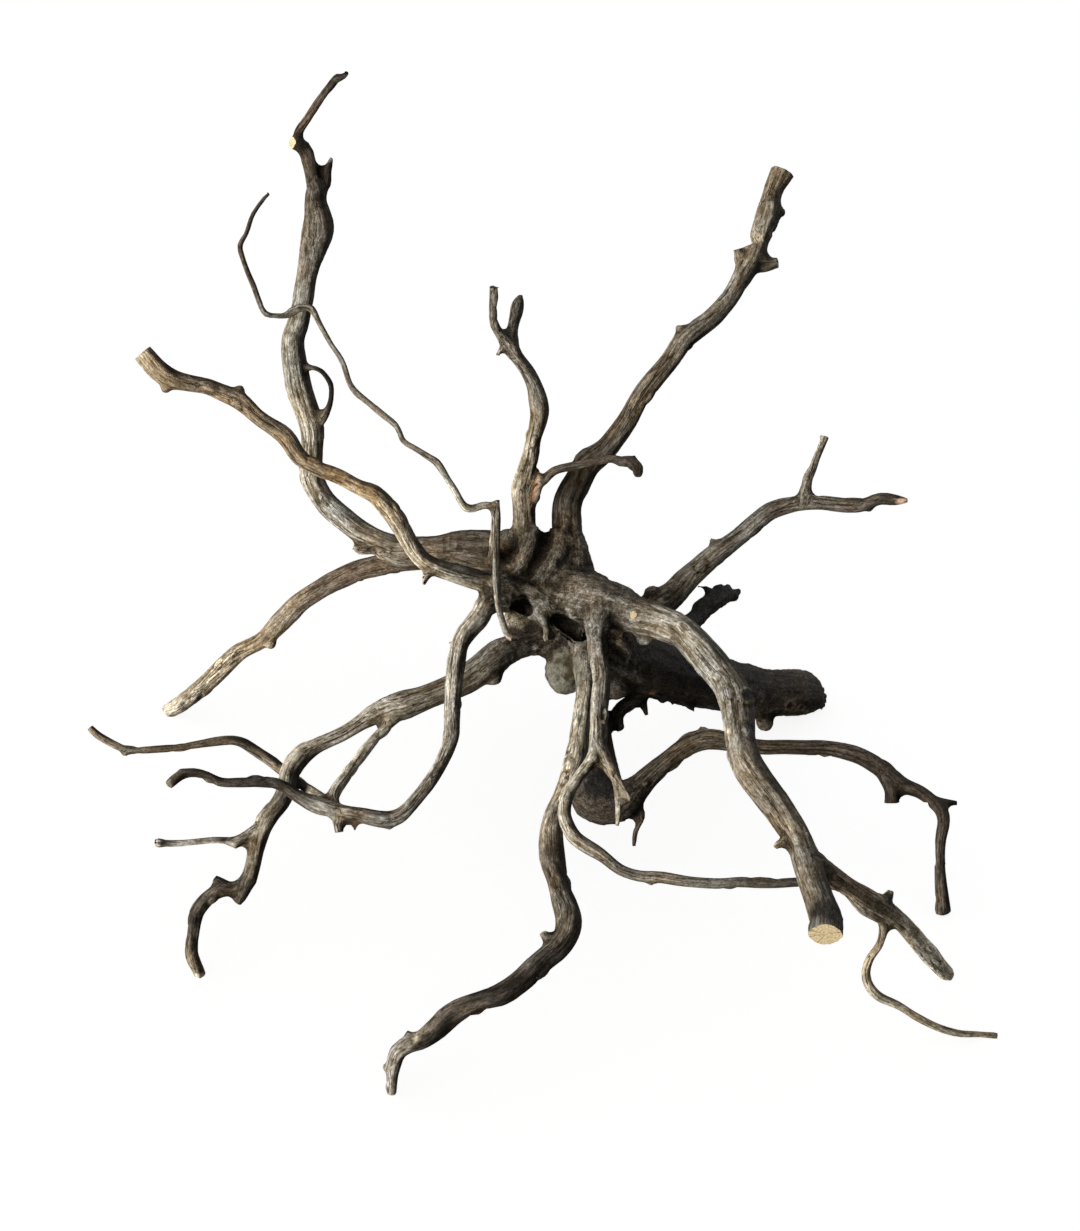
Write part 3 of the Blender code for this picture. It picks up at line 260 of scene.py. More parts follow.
# Roots of the lower left
LEFT_ROOTS = {
    "left_root": [
        (14, -8, -6, 10), (2, -12, -2, 7.6), (-8, -14.8, 2, 6.3), (-19, -18.5, 6, 7.3),
        (-28.5, -26, 9, 7.2), (-38, -33, 11, 6.8), (-50, -38, 13, 6), (-60, -42, 14, 5.9),
        (-69, -45, 15, 7), (-76, -46.5, 15.5, 6.4), (-83.5, -49.5, 16, 5.3), (-90, -53.7, 18, 4.3),
        (-100, -60, 21, 3.9), (-110, -64.5, 24, 3.9), (-116, -67.8, 26, 4.6), (-121.5, -72.3, 28.5, 5.4),
        (-125.5, -79, 32, 5.1), (-127, -86.5, 37, 4.8), (-130, -93.5, 41, 4.9), (-135.7, -100.5, 44, 4.6),
        (-139.5, -108.5, 47, 4.3), (-141.8, -116.5, 49, 3.9), (-143.8, -126, 51, 4.1),
        (-147, -134, 52, 4.6), (-154, -136.8, 53, 3.6), (-160, -137.5, 54, 4), (-165, -140.5, 55, 4),
        (-169, -144.5, 56, 4), (-171.8, -149, 56, 4), (-172.8, -156, 56, 3.3), (-174.3, -165, 55, 3.3),
        (-174, -170.5, 53, 3.6), (-171, -177, 49, 3.1), (-169.5, -181, 45, 3),
    ],
    "left_root_knuckle": [(-147, -134, 52, 4.4), (-150, -142, 54, 2.8), (-151, -144, 54, 2)],
    "left_root_spur": [(-158, -135, 53.5, 3.4), (-162, -131.8, 54, 2), (-163, -131, 54, 1.6)],
    "left_side_twig": [
        (-139, -106, 46, 3.8), (-146.5, -110, 50, 2.8), (-150, -112, 52, 2.8), (-153.5, -113, 53, 2.8),
        (-157.5, -112.5, 55, 2), (-166.5, -112.5, 58, 1.9), (-180, -113.8, 61, 1.8),
        (-187.5, -113.8, 63, 1.8), (-190.3, -113.6, 64, 2.4), (-192.5, -113.4, 64, 1.9),
    ],
    "cross_root": [
        (-70, -47, 14, 4.4), (-75, -53, 19, 3.1), (-77, -56, 21, 2.9), (-82.8, -61.7, 27, 2.8),
        (-90.5, -71.3, 36, 2.9), (-97.3, -80.8, 46, 2.8), (-103.5, -90, 55, 3.2), (-103, -95, 61, 3.4),
    ],
    "loop_root": [
        (-14, 9, 10, 7.5), (-26, 6, 20, 5.6), (-31, -2, 26, 5.2), (-39.3, -12, 32, 4.6),
        (-42, -22, 37, 4.5), (-43, -32, 42, 4.5), (-43.7, -42, 46, 4.4), (-44, -52, 50, 4.2),
        (-44.3, -61, 54, 4.2), (-48.5, -72, 58, 3.6), (-54.5, -82, 61, 3.6), (-62, -92, 64, 3.7),
        (-70, -100, 66, 4.3), (-76, -102, 66, 4.6), (-83, -101.5, 66, 4.3), (-90, -99.8, 65, 3.9),
        (-100, -97.8, 64, 3.8), (-110, -95.2, 63, 4.3), (-120, -91, 61, 3.3), (-130, -84.5, 59, 2.8),
        (-140, -83, 58, 2.9), (-150, -83.5, 58, 2.5), (-160, -83.3, 59, 2.5), (-167, -80, 61, 2.4),
        (-173, -78.5, 63, 2.4), (-180, -80, 66, 2.7), (-185.5, -84.5, 70, 2.3),
    ],
    "loop_root_thorn": [(-41, -15.5, 32, 2.4), (-45.5, -12.5, 33, 0.9)],
    "loop_root_stub": [(-100.5, -99, 64, 3.3), (-101, -105, 64, 2.7), (-100.7, -108.3, 64, 2.6)],
    "far_left_root": [
        (-105, -95, 61, 3.2), (-109, -91.8, 49, 3), (-114.5, -88, 34, 2.8), (-122, -82.4, 17, 2.8),
        (-130, -76.2, 9, 2.9), (-137, -71, 8, 2.9), (-146.5, -64.8, 9, 2.8), (-153, -62.5, 12, 2.5),
        (-164, -63.3, 14, 2.4), (-180, -65.8, 18, 2.1), (-200, -67.3, 22, 1.9), (-207, -67, 24, 2.2),
        (-214.8, -63.5, 25, 1.9), (-221.5, -59.5, 27, 1.8), (-225, -56, 28, 1.8),
    ],
    "far_left_thorn": [(-207.3, -67.5, 24, 2), (-208, -71, 24.5, 0.9)],
}

# Ridges, folds and webs of the crown
CROWN_FOLDS = {
    "crown_ridge": [
        (-5, 11, 8, 4), (-2, 4, 12.5, 2.6), (1, -1, 14, 2), (3.4, -6.5, 14, 1.6), (5.5, -11, 11.5, 2.3),
    ],
    "crown_left_fold": [(-3, 44, 3, 4.6), (-6, 34, 6.5, 4.6), (-10, 24, 8.5, 4.8), (-16, 15, 9, 4.8)],
    "crown_right_fold": [(9.5, 44, 0.5, 4.6), (9, 34, 3.5, 4.6), (6, 26, 7, 4.6), (1, 19, 9.5, 4.4)],
    "hollow_lip": [(-17, 12, 12, 2.6), (-10, 13.5, 13, 2.6), (-3, 12, 13, 2.8), (4, 7, 13, 3)],
    "stump_web": [(37, -7, 9, 5.5), (42, -14, 0, 5), (44, -23, -8, 4), (46, -32, -14, 3.5)],
}

LIMBS = {**UPPER_LEFT, **UPPER_RIGHT, **FRONT_ROOTS, **LEFT_ROOTS, **CROWN_FOLDS}

# Limbs sawn flat and square at their last station
SAWN_ENDS = (
    "tall_limb", "front_left_limb", "top_right_limb", "forward_limb", "right_limb_twig",
    "top_right_left_stub", "top_right_right_stub", "elbow_root_stub", "front_leg_spur",
    "loop_root_stub", "right_foot_root", "elbow_root",
)

# Rounded lumps fused into the limbs, laid out as stations are
LUMPS = {
    "crown": [
        (-8, 27, -4, 13), (8, 16, -2, 15), (24, 8, 0, 14.5), (36, -2, -8, 13.5), (14, -8, -8, 13),
        (-4, 3, -8, 12), (-17, 28, -4, 12.5), (-11, 14, 2, 12), (2, 7, 4, 12), (20, 9, 7, 12),
        (-9, -4, -5, 9.5), (-16, 37, 0, 6), (2.5, 31, 0, 6), (38, -34, -14, 8),
    ],
    "belly": [(12, -29.5, 1, 10), (14, -24, -2, 11)],
    "under_forward_limb": [(52.5, -9.5, 22, 5.5)],
    "knots": [
        (-134.5, -14, -85, 2.5), (-187, 114, 46, 3.2), (-2.5, 59, 7, 2.2), (69.5, 143, 5, 2.2),
        (120, 201.5, -10, 2.6), (164.5, 54, -22, 2.4), (55.3, 11.5, -31, 4.3), (89, 12.5, -76, 2.8),
        (112.3, -53.5, -98, 4.5), (148.5, -152, 168, 3.6), (-64.5, -215, 117, 2.6),
        (-76.8, -226, 112, 2.3), (-22.8, -31, 9, 3.6), (-75.5, -105, 66, 2.2), (-147.5, -113.5, 50, 2),
        (-152.5, -114.5, 53, 2.2), (-150, 113, 42, 2.4),
    ],
}

# Hollows opening to the front of the crown: centre as a station's, then the half lengths
# across, up and towards the viewer, and the turn in the plane in degrees
HOLLOWS = [
    ((-9.5, 3.8, 12.5), (6.8, 5.2, 11.5), -12),
    ((14.5, -6.3, 11), (11.5, 5.8, 10.5), -33),
]

# Details too fine for the solid: nibs, flakes of bark, loose hairs, teeth of torn ends, and the
# swelling under a cut knot
FINE_LIMBS = {
    "hollow_nib": [(3.6, -8, 15, 1.8), (3.2, -11.5, 17, 1.5), (4.2, -13.5, 17.5, 0.8)],
    "forward_limb_knot": [(47.5, 0.5, 24, 2.8), (47.5, 0.5, 29.6, 2.6)],
    "dark_stub_first_tooth": [(88, 11, -75, 2.6), (91, 15.5, -78, 0.9)],
    "dark_stub_second_tooth": [(91.5, 11, -78, 2.4), (95, 15.6, -81, 0.8)],
    "dark_stub_third_tooth": [(95, 10, -82, 2.6), (100, 12.3, -86, 1.5)],
    "stump_flake_root": [(96, -45, -84, 3.0), (98, -52.5, -84, 1.4)],
    "stump_first_flake": [(61, -39, -38, 2.4), (61, -44.5, -38, 0.8)],
    "stump_second_flake": [(65.5, -40, -43, 3.0), (67, -45.3, -43, 0.9)],
    "stump_third_flake": [(73, -42, -50, 2.8), (75, -46.8, -50, 0.8), (78, -47.6, -50, 0.6)],
    "dark_stub_hair": [(87, 11.5, -72, 1.2), (83, 14.2, -70, 0.45), (78, 14.4, -69, 0.35)],
    "loop_root_hair": [
        (-100, -103.5, 64, 1.2), (-96, -103.2, 64, 0.5), (-93.3, -104.6, 64, 0.4), (-92.3, -108, 64, 0.4),
        (-92.2, -111, 64, 0.35),
    ],
    "loop_root_corner": [(-174.5, -78.4, 63, 2.2), (-180.2, -77.9, 66, 1.5)],
}
LIMBS.update(FINE_LIMBS)

# Saw cuts that are still pale; the others have weathered
PALE_CUTS = ("tall_limb", "front_left_limb", "forward_limb", "right_limb_twig")

# Twigs cut off flush, seen as pale discs: a place, the disc's radius, and how far it stands
# out of the wood and reaches into it
CUT_KNOTS = [((47.5, 0.3, 31), 2.7), ((31.5, -53.3, 50), 1.1), ((-75.5, -54, 22), 1.2)]
KNOT_RISE = 0.3
KNOT_DEPTH = 1.6
KNOT_SIDES = 28
KNOT_TAPER = 0.93

# Modelling settings, with lengths in millimetres and tip angles in degrees
STATION_SPACING = 3.0
TIP_ANGLES = (30, 55, 75)
TUBE_SIDES_SETTING = 4
BALL_STEPS = 3
WELD = 0.001
CROTCH_FILLET = 1.8
VOXEL = 0.8
SAW_ALLOWANCE = 9.0
SAW_SPAN_IN_RADII = 6
CUTTER_DEPTH = 30.0
FLOOR_CUTTER_SPAN = 900.0
CUT_TOLERANCE = 0.03
CUT_FACING = 0.99
TARGET_TRIANGLES = 196000

# Which knots each step of a Catmull-Rom curve mixes between
CATMULL_ROM_SPANS = (((0, 1), (1, 2), (2, 3)), ((0, 2), (1, 3)), ((1, 2),))

# Swellings of lost twigs, in millimetres
BUD_SEED = 70
BUD_SPACING = 17.0
BUD_LEAST_GIRTH = 1.9
BUD_SIZES = (1.3, 2.6)
BUD_RISES = (0.35, 1.0)
BUD_STRETCH = 1.4

# Layers of flutes: the length of a swell along the grain in millimetres, how fine it is around,
# its seed, and its height as a share of the radius, up to the fluted radius. The shift gives
# each limb noise of its own
FLUTES = ((26.0, 1.5, 12, 0.10), (22.0, 3.0, 13, 0.035))
FLUTED_RADIUS = 9.0
LIMB_SHIFT = 37.0

# How far a limb's grain and colour reach past its surface, how softly limbs mix, and how far
# apart their grains are stored
REACH = 15.0
MIX_SOFTNESS = 1.3
LEAST_WEIGHT = 1e-12
GRAIN_MIX_WIDTH = 2.5
GRAIN_SHIFT = 83.0
FIRST_SIDE = (0.3, 0.5, 0.8)
ROUTE_CHUNK = 8
FAR = 1000.0

# The rough middle of the root, where the limbs meet: place in the layout frame, and half size
CROWN_MIDDLE = (14, 4, 0)
CROWN_REACH = (34.0, 62.0)

# Colours as the photo shows them, 0 to 255, and the ones that follow each other along a limb
TONES = {
    "bleached": (206, 195, 172), "bright": (186, 176, 154),
    "pale": (166, 155, 133), "silver": (148, 141, 127), "cool_grey": (133, 128, 115),
    "tan": (146, 130, 103), "golden": (146, 123, 88), "grey_tan": (130, 119, 99),
    "ochre": (118, 98, 70), "grey": (116, 109, 95), "brown": (106, 93, 73),
    "dark_grey": (88, 81, 69), "dark_brown": (80, 69, 55), "umber": (62, 53, 42),
    "bark": (49, 42, 33), "soot": (36, 31, 24), "black": (20, 17, 13),
    "crown": (102, 98, 91),
}
PLAIN_TONES = "grey_tan brown"
# Along a limb the tones are partly its own colour and partly painted light and shade: paler where other
# limbs cast shadows on it, and darker where it lies in shade
LIMB_TONES = {
    "left_trunk": "dark_brown dark_brown brown",
    "tall_limb": "brown cool_grey pale cool_grey grey dark_brown umber",
    "tall_limb_twig": "umber dark_brown umber soot", "tall_limb_spur": "soot black",
    "small_loop": "black soot", "front_left_limb": "pale pale golden ochre ochre tan",
    "back_left_root": "dark_brown dark_brown tan pale",
    "long_twig": "brown bright brown dark_grey grey umber bark",
    "hanging_stick": "soot dark_grey grey grey", "middle_limb": "dark_brown pale grey_tan dark_brown brown",
    "middle_limb_tine": "grey_tan umber", "hook_twig": "bark umber bark", "hook_twig_nib": "bark",
    "top_right_limb": "soot umber brown grey grey_tan brown", "top_right_left_stub": "grey_tan dark_grey",
    "right_limb": "dark_brown bleached silver dark_grey dark_brown soot", "right_limb_twig": "grey bright",
    "dark_stub": "black", "dark_stub_prong": "black", "dark_stub_first_tooth": "black soot",
    "dark_stub_second_tooth": "black soot", "dark_stub_third_tooth": "soot umber",
    "forward_limb": "grey_tan grey silver cool_grey grey brown grey soot",
    "right_foot_root": "umber tan bleached bleached", "trailing_root": "grey_tan tan",
    "stump": "umber bark dark_brown brown", "stump_nib": "soot", "stump_rootlet": "soot bark",
    "stump_thorn": "bark", "stump_flake_root": "soot", "stump_first_flake": "soot black",
    "stump_second_flake": "soot black", "stump_third_flake": "soot black", "dark_stub_hair": "black soot",
    "loop_root_hair": "umber dark_brown", "loop_root_corner": "umber dark_grey",
    "front_leg": "brown pale pale dark_brown dark_grey umber dark_grey silver",
    "fork_root": "dark_grey silver bright dark_grey dark_grey soot", "fork_right_tine": "umber pale",
    "fork_splinter": "tan brown", "elbow_root": "umber umber umber brown dark_brown bark umber umber",
    "elbow_root_stub": "umber soot", "elbow_root_spur": "bark black", "elbow_rootlet": "dark_brown umber",
    "left_root": "dark_brown dark_grey brown silver bright dark_grey brown soot tan",
    "left_root_knuckle": "soot", "left_root_spur": "soot", "left_side_twig": "bright silver",
    "loop_root": "bleached silver silver dark_grey soot dark_grey",
    "far_left_root": "pale dark_brown brown", "front_leg_upper_thorn": "dark_brown umber",
    "middle_limb_curl": "silver tan", "top_right_right_stub": "tan pale", "front_left_stub": "pale bright",
    "cross_root": "bright bleached", "crown_ridge": "pale bleached", "crown_left_fold": "grey_tan pale",
    "crown_right_fold": "grey_tan grey", "hollow_lip": "brown pale", "stump_web": "tan soot",
}
# The crown's colour, and the darker one towards its top that is painted shade, with where that begins and
# is full, and how much the crown's colour takes over
CROWN_TONE = "crown"
CROWN_TOP_TONE = "brown"
CROWN_TOP = (14, 30)
CROWN_SHARE = 0.55

# Limbs that get little of the painted side shade, and spots and limbs as rough as the crown
LIMBS_WITH_LESS_SIDE_SHADE = ("right_foot_root", "trailing_root", "cross_root")
ROUGH_SPOTS = [((30, -88, 2), 13.0)]
ROUGH_FADE = (2.0, 6.0)
ROUGH_LIMBS = ("stump", "stump_rootlet", "stump_nib", "dark_stub", "stump_flake_root")

# Wounds, stains, patches of painted shade and light, and scars lie where a line of sight meets the wood.
# Each has a place, half lengths across and up, a turn in the plane in degrees, and its colour or its rim's
# height
MARK_DEPTH = 9.0
STAIN_AND_SHADE_DEPTH = 0.85
STAIN_AND_SHADE_SOFTNESS = 1.6
WOUND_TONES = {
    "torn": (170, 140, 114), "rusty": (126, 98, 72), "pinkish": (122, 103, 86),
    "cut": (172, 158, 130), "olive": (104, 99, 83),
}
WOUNDS = [
    ((11.5, -30, 14), 11.0, 12.5, 20, "olive"), ((-2.8, 62.5, 13), 1.7, 7.5, -16, "torn"),
    ((28, -54, 49), 3.5, 0.8, -10, "pinkish"), ((56, -39, -22), 1.8, 1.5, 0, "rusty"),
    ((125, -44.5, -97), 2.2, 1.6, 20, "pinkish"), ((130.5, -45.5, -102), 1.4, 1.1, 0, "pinkish"),
    ((93, -57.5, 99), 2.4, 0.8, -20, "cut"), ((181.5, 57.3, -12), 3.0, 1.5, 0, "torn"),
    ((-13, 12.5, 16), 2.2, 1.5, 0, "pinkish"), ((-4, 12.5, 16), 2.4, 1.2, 15, "pinkish"),
    ((-104.5, 229, 14), 1.2, 1.8, 0, "pinkish"), ((-14, -10, 41), 1.2, 2.2, -20, "pinkish"),
    ((-62.5, -213.5, 119), 1.0, 3.6, -14, "cut"), ((-74.5, -240, 106), 3.0, 2.6, 0, "olive"),
    ((25.5, -139.5, 84), 2.2, 5.2, -8, "pinkish"), ((-170, -180, 48), 2.2, 1.8, 0, "cut"),
]
# Patches of colour, some of them painted: the black band under the front leg near its end is painted shade,
# the umber band along the forward limb's upper edge is painted shade, and the pale and silver patches
# inside the two hollows of the crown are painted light. The others darken or lighten the wood in patches
STAINS_AND_PAINTED_SHADE = [
    ((31, -84, 14), 9.0, 7.5, 0, "black"), ((142, -147, 179), 9.0, 5.0, -12, "black"),
    ((45, 9.5, 24), 20.0, 3.2, -22, "umber"), ((37, -3, 29), 6.5, 5.0, 0, "umber"),
    ((22, 1, 20), 4.0, 6.0, 20, "dark_grey"), ((-11, 0, 5), 6.0, 5.0, 0, "pale"),
    ((14, -8, 3), 8.0, 4.0, -30, "silver"), ((139, -131, 164), 3.0, 8.0, 22, "bark"),
    ((96, -54.6, 97), 7.0, 0.7, -6, "soot"), ((104, -40.5, 86), 4.2, 3.4, 0, "dark_brown"),
    ((68, -15, 45), 5.0, 2.4, -40, "dark_grey"), ((-54, -211, 115), 10.0, 3.2, 24, "black"),
    ((-47, -204, 118), 2.8, 6.5, -35, "black"), ((-27, -190, 118), 9.0, 2.8, 12, "soot"),
    ((-13, -184, 116), 5.5, 2.8, 35, "black"), ((1, -172, 110), 5.5, 2.6, 48, "soot"),
    ((7, -117, 70), 5.5, 4.5, 0, "umber"), ((7, -99, 60), 2.2, 7.0, 20, "dark_grey"),
    ((104, -35, -75), 14.0, 6.0, -8, "dark_brown"), ((124, -36, -96), 8.0, 4.0, 0, "brown"),
    ((77, -24, -45), 6.0, 5.0, 0, "dark_brown"), ((9, -8, 20), 2.0, 5.0, 10, "dark_grey"),
]
SCARS = [
    ((7.7, -134, 80), 2.3, 3.8, 0, 0.55), ((104, -40.5, 86), 3.6, 3.0, 0, 0.9),
    ((125, -44.5, -97), 3.0, 2.3, 20, 0.9), ((130.5, -45.5, -102), 2.0, 1.7, 0, 0.8),
    ((47.5, 0.3, 31), 3.2, 2.8, 0, 0.35), ((72, -6, 48), 3.2, 2.2, -40, 0.5),
    ((-2.8, 62.5, 13), 2.6, 8.6, -16, 0.5),
]

# The camera's sensor, and the photograph's long side on the layout plane, in millimetres
SENSOR = 36.0
PHOTO_LONG_SIDE = 615.5

# Painted side shade: the side painted darker as shade, facing away from the key light, where this painted
# shade begins and is full, how much of it the limbs with less side shade lose, and how dark it is
SIDE_SHADE_DIRECTION = (1.0, 0.1, 0.1)
SIDE_SHADE_EDGE = (0.12, 0.78)
SIDE_SHADE_LOSS = 0.7
SIDE_SHADE_TONE = 0.27

# Painted shade in hollows of the surface, narrow and wide: smoothing passes, and strength per millimetre
HOLLOW_SHADES = {"crevice_shade": (4, 2.2), "recess_shade": (30, 0.5)}

# How the wood's hue leans where it is dark and where it is pale, in linear light
DARK_CAST = (1.14, 0.98, 0.74, 1.0)
PALE_CAST = (0.97, 1.0, 1.06, 1.0)

# Studio, in metres and watts
WHITE = (1.0, 1.0, 1.0, 1.0)
FLOOR_SIZE = 400.0
FLOOR_COLOUR = (0.88, 0.88, 0.875)
FLOOR_GLOW = 0.86
WORLD_LIGHT = 0.17
LIGHT_SIZE = 1.3
LIGHTS = {"key": ((-1.6, -0.95, 0.45), 114.0), "fill": ((1.5, 1.3, 0.8), 24.0)}


def place(across, up, towards):
    """World position in metres of a place in the layout frame."""
    nearness = 1.0 - towards / SIGHT_LENGTH
    x = across * nearness + FOOTPRINT_SHIFT[0]
    y = up * nearness * math.sin(SIGHT_RISE) - towards * math.cos(SIGHT_RISE) + FOOTPRINT_SHIFT[1]
    z = CROWN_HEIGHT + up * nearness * math.cos(SIGHT_RISE) + towards * math.sin(SIGHT_RISE)
    return Vector((x, y, z)) * MM


def place_in_mm(spot):
    """World position of a layout place, as an array in millimetres."""
    return np.array(place(*spot)) / MM


def true_size(length, towards):
    """Real size in millimetres of a length seen on the layout plane."""
    return length * (1.0 - towards / SIGHT_LENGTH)


# Routes

def smooth_route(stations):
    """World points in metres and true radii in millimetres, along a limb."""
    points = np.array([(*place(*station[:3]), true_size(station[3], station[2]) * MM)
                       for station in stations])
    padded = np.vstack([2 * points[0] - points[1], points, 2 * points[-1] - points[-2]])
    route = []
    for corners in zip(padded, padded[1:], padded[2:], padded[3:]):
        knots = np.cumsum([0.0] + [math.sqrt(np.linalg.norm(b[:3] - a[:3]))
                                   for a, b in zip(corners, corners[1:])])
        steps = max(2, round(np.linalg.norm(corners[2][:3] - corners[1][:3]) / (STATION_SPACING * MM)))
        for step in range(steps):
            t = knots[1] + (knots[2] - knots[1]) * step / steps
            route.append(centripetal_point(corners, knots, t))
    route.append(points[-1])
    return [(Vector(row[:3]), row[3] / MM) for row in route]


def centripetal_point(corners, knots, t):
    """One point of a centripetal Catmull-Rom curve through four corners."""
    level = list(corners)
    for spans in CATMULL_ROM_SPANS:
        level = [((knots[b] - t) * near + (t - knots[a]) * far) / (knots[b] - knots[a])
                 for (a, b), near, far in zip(spans, level, level[1:])]
    return level[0]


def end_of(route):
    """Last point, heading and radius of a route."""
    tip, radius = route[-1]
    return tip, (tip - route[-2][0]).normalized(), radius


def limb_route(name):
    """A limb's route, longer by its saw allowance or by a rounded tip."""
    route = smooth_route(LIMBS[name])
    tip, heading, radius = end_of(route)
    if name in SAWN_ENDS:
        return route + [(tip + heading * SAW_ALLOWANCE * MM, radius)]
    return route + [(tip + heading * radius * math.sin(angle) * MM, radius * math.cos(angle))
                    for angle in map(math.radians, TIP_ANGLES)]


# Solid shape

def add_object(name, data):
    """A new object in the scene."""
    obj = bpy.data.objects.new(name, data)
    bpy.context.scene.collection.objects.link(obj)
    return obj


@contextlib.contextmanager
def editing(mesh):
    """A mesh opened for editing, and written back at the end."""
    bm = bmesh.new()
    bm.from_mesh(mesh)
    yield bm
    bm.to_mesh(mesh)
    bm.free()


def evaluated_mesh(obj):
    """What the object's curve or modifiers make, as a mesh."""
    return bpy.data.meshes.new_from_object(obj.evaluated_get(bpy.context.evaluated_depsgraph_get()))


def modify(obj, *modifiers):
    """Replace the object's mesh by what the modifiers make of it, each a kind and its settings."""
    for kind, settings in modifiers:
        modifier = obj.modifiers.new(kind, kind)
        for name, value in settings.items():
            setattr(modifier, name, value)
    mesh = evaluated_mesh(obj)
    obj.modifiers.clear()
    obj.data = mesh


def tube_mesh():
    """All limbs as closed tubes, swollen by the crotch fillet."""
    curve = bpy.data.curves.new("limb_routes", "CURVE")
    curve.dimensions = "3D"
    curve.bevel_depth = MM
    curve.bevel_resolution = TUBE_SIDES_SETTING
    curve.use_fill_caps = True
    for name in LIMBS:
        route = limb_route(name)
        spline = curve.splines.new("POLY")
        spline.points.add(len(route) - 1)
        for point, (position, radius) in zip(spline.points, route):
            point.co = (*position, 1.0)
            point.radius = radius + CROTCH_FILLET
    guide = add_object("limb_routes", curve)
    mesh = evaluated_mesh(guide)
    bpy.data.objects.remove(guide)
    return mesh


def body_mesh():
    """Tubes and lumps in one mesh, still passing through each other."""
    mesh = tube_mesh()
    with editing(mesh) as bm:
        bmesh.ops.remove_doubles(bm, verts=bm.verts, dist=WELD * MM)
        for across, up, towards, radius in itertools.chain(*LUMPS.values()):
            size = (true_size(radius, towards) + CROTCH_FILLET) * MM
            bmesh.ops.create_icosphere(bm, subdivisions=BALL_STEPS, radius=size,
                                       matrix=Matrix.Translation(place(across, up, towards)))
    return mesh


def sawn_planes(names):
    """Centre, heading and width of the saw cut of each limb named."""
    ends = [end_of(smooth_route(LIMBS[name])) for name in names]
    return [(tip, heading, SAW_SPAN_IN_RADII * (radius + CROTCH_FILLET) * MM)
            for tip, heading, radius in ends]


def turned_to(direction):
    """The turn that points the Z axis that way."""
    return direction.to_track_quat("Z", "Y").to_matrix().to_4x4()


def placed(centre, turn, size):
    """Matrix that sizes a shape, turns it and puts it in its place."""
    return Matrix.Translation(centre) @ turn @ Matrix.Diagonal((*size, 1.0))


def saw_cutters(bm):
    """A box past each sawn end, square across the limb."""
    for tip, heading, width in sawn_planes(SAWN_ENDS):
        centre = tip + heading * CUTTER_DEPTH / 2 * MM
        size = (width, width, CUTTER_DEPTH * MM)
        bmesh.ops.create_cube(bm, size=1.0, matrix=placed(centre, turned_to(heading), size))


def hollow_cutters(bm):
    """Ellipsoids that leave the two hollows in the crown, once the swelling is taken back."""
    plane = Matrix.Rotation(math.pi / 2 - SIGHT_RISE, 4, "X")
    for centre, half_lengths, turn in HOLLOWS:
        size = [(half - CROTCH_FILLET) * MM for half in half_lengths]
        roll = Matrix.Rotation(math.radians(turn), 4, "Z")
        bmesh.ops.create_icosphere(bm, subdivisions=BALL_STEPS, radius=1.0,
                                   matrix=placed(place(*centre), plane @ roll, size))


def floor_cutter(bm):
    """A slab under the plane that the feet stand on."""
    span, depth = FLOOR_CUTTER_SPAN * MM, CUTTER_DEPTH * MM
    matrix = placed((0, 0, -depth / 2), Matrix.Identity(4), (span, span, depth))
    bmesh.ops.create_cube(bm, size=1.0, matrix=matrix)


def fuse(obj):
    """Melt everything in the mesh into one even skin."""
    modify(obj, ("REMESH", {"mode": "VOXEL", "voxel_size": VOXEL * MM}))


def take_back_swelling(obj):
    """Shrink the skin by the swelling, which leaves a fillet in every crotch."""
    modify(obj, ("SMOOTH", {"factor": 0.5, "iterations": 4}),
           ("DISPLACE", {"strength": -CROTCH_FILLET * MM, "mid_level": 0.0}))


def thin_out(obj):
    """Bring the skin down to the target number of triangles."""
    triangles = sum(len(polygon.vertices) - 2 for polygon in obj.data.polygons)
    modify(obj, ("DECIMATE", {"ratio": TARGET_TRIANGLES / triangles, "use_collapse_triangulate": True}))


def cut(obj, fill):
    """Take what one of the cutter functions makes out of the skin."""
    mesh = bpy.data.meshes.new("cutter")
    with editing(mesh) as bm:
        fill(bm)
    cutter = add_object("cutter", mesh)
    modify(obj, ("BOOLEAN", {"operation": "DIFFERENCE", "solver": "MANIFOLD", "object": cutter}))
    bpy.data.objects.remove(cutter)


def keep_largest_body(bm):
    """Drop any scrap that a cut has left loose."""
    unseen = set(bm.verts)
    bodies = []
    while unseen:
        front = [unseen.pop()]
        body = set(front)
        while front:
            found = {vert for edge in front.pop().link_edges for vert in edge.verts} & unseen
            unseen -= found
            body |= found
            front.extend(found)
        bodies.append(body)
    bodies.sort(key=len)
    for scrap in bodies[:-1]:
        bmesh.ops.delete(bm, geom=list(scrap), context="VERTS")


# Noise and reading meshes

def noise(points, seed):
    """Smooth noise from -1 to 1 at rows of points, about one swell in two units."""
    cell = np.floor(points).astype(np.int64)
    part = points - cell
    fade = part * part * part * (part * (part * 6 - 15) + 10)
    total = np.zeros(len(points))
    for corner in itertools.product((0, 1), repeat=3):
        key = (cell + corner) * (73856093, 19349663, 83492791)
        mixed = (key[:, 0] ^ key[:, 1] ^ key[:, 2] ^ (seed * 668265263)) & 0xFFFFFFFF
        mixed = ((mixed ^ (mixed >> 15)) * 2246822519) & 0xFFFFFFFF
        mixed = ((mixed ^ (mixed >> 13)) * 3266489917) & 0xFFFFFFFF
        value = ((mixed ^ (mixed >> 16)) & 0xFFFF) / 32767.5 - 1
        total += value * np.prod(np.where(corner, fade, 1 - fade), axis=1)
    return total


def ramp(values, low, high):
    """0 below low, 1 above high and a smooth climb between."""
    t = np.clip((values - low) / (high - low), 0, 1)
    return t * t * (3 - 2 * t)


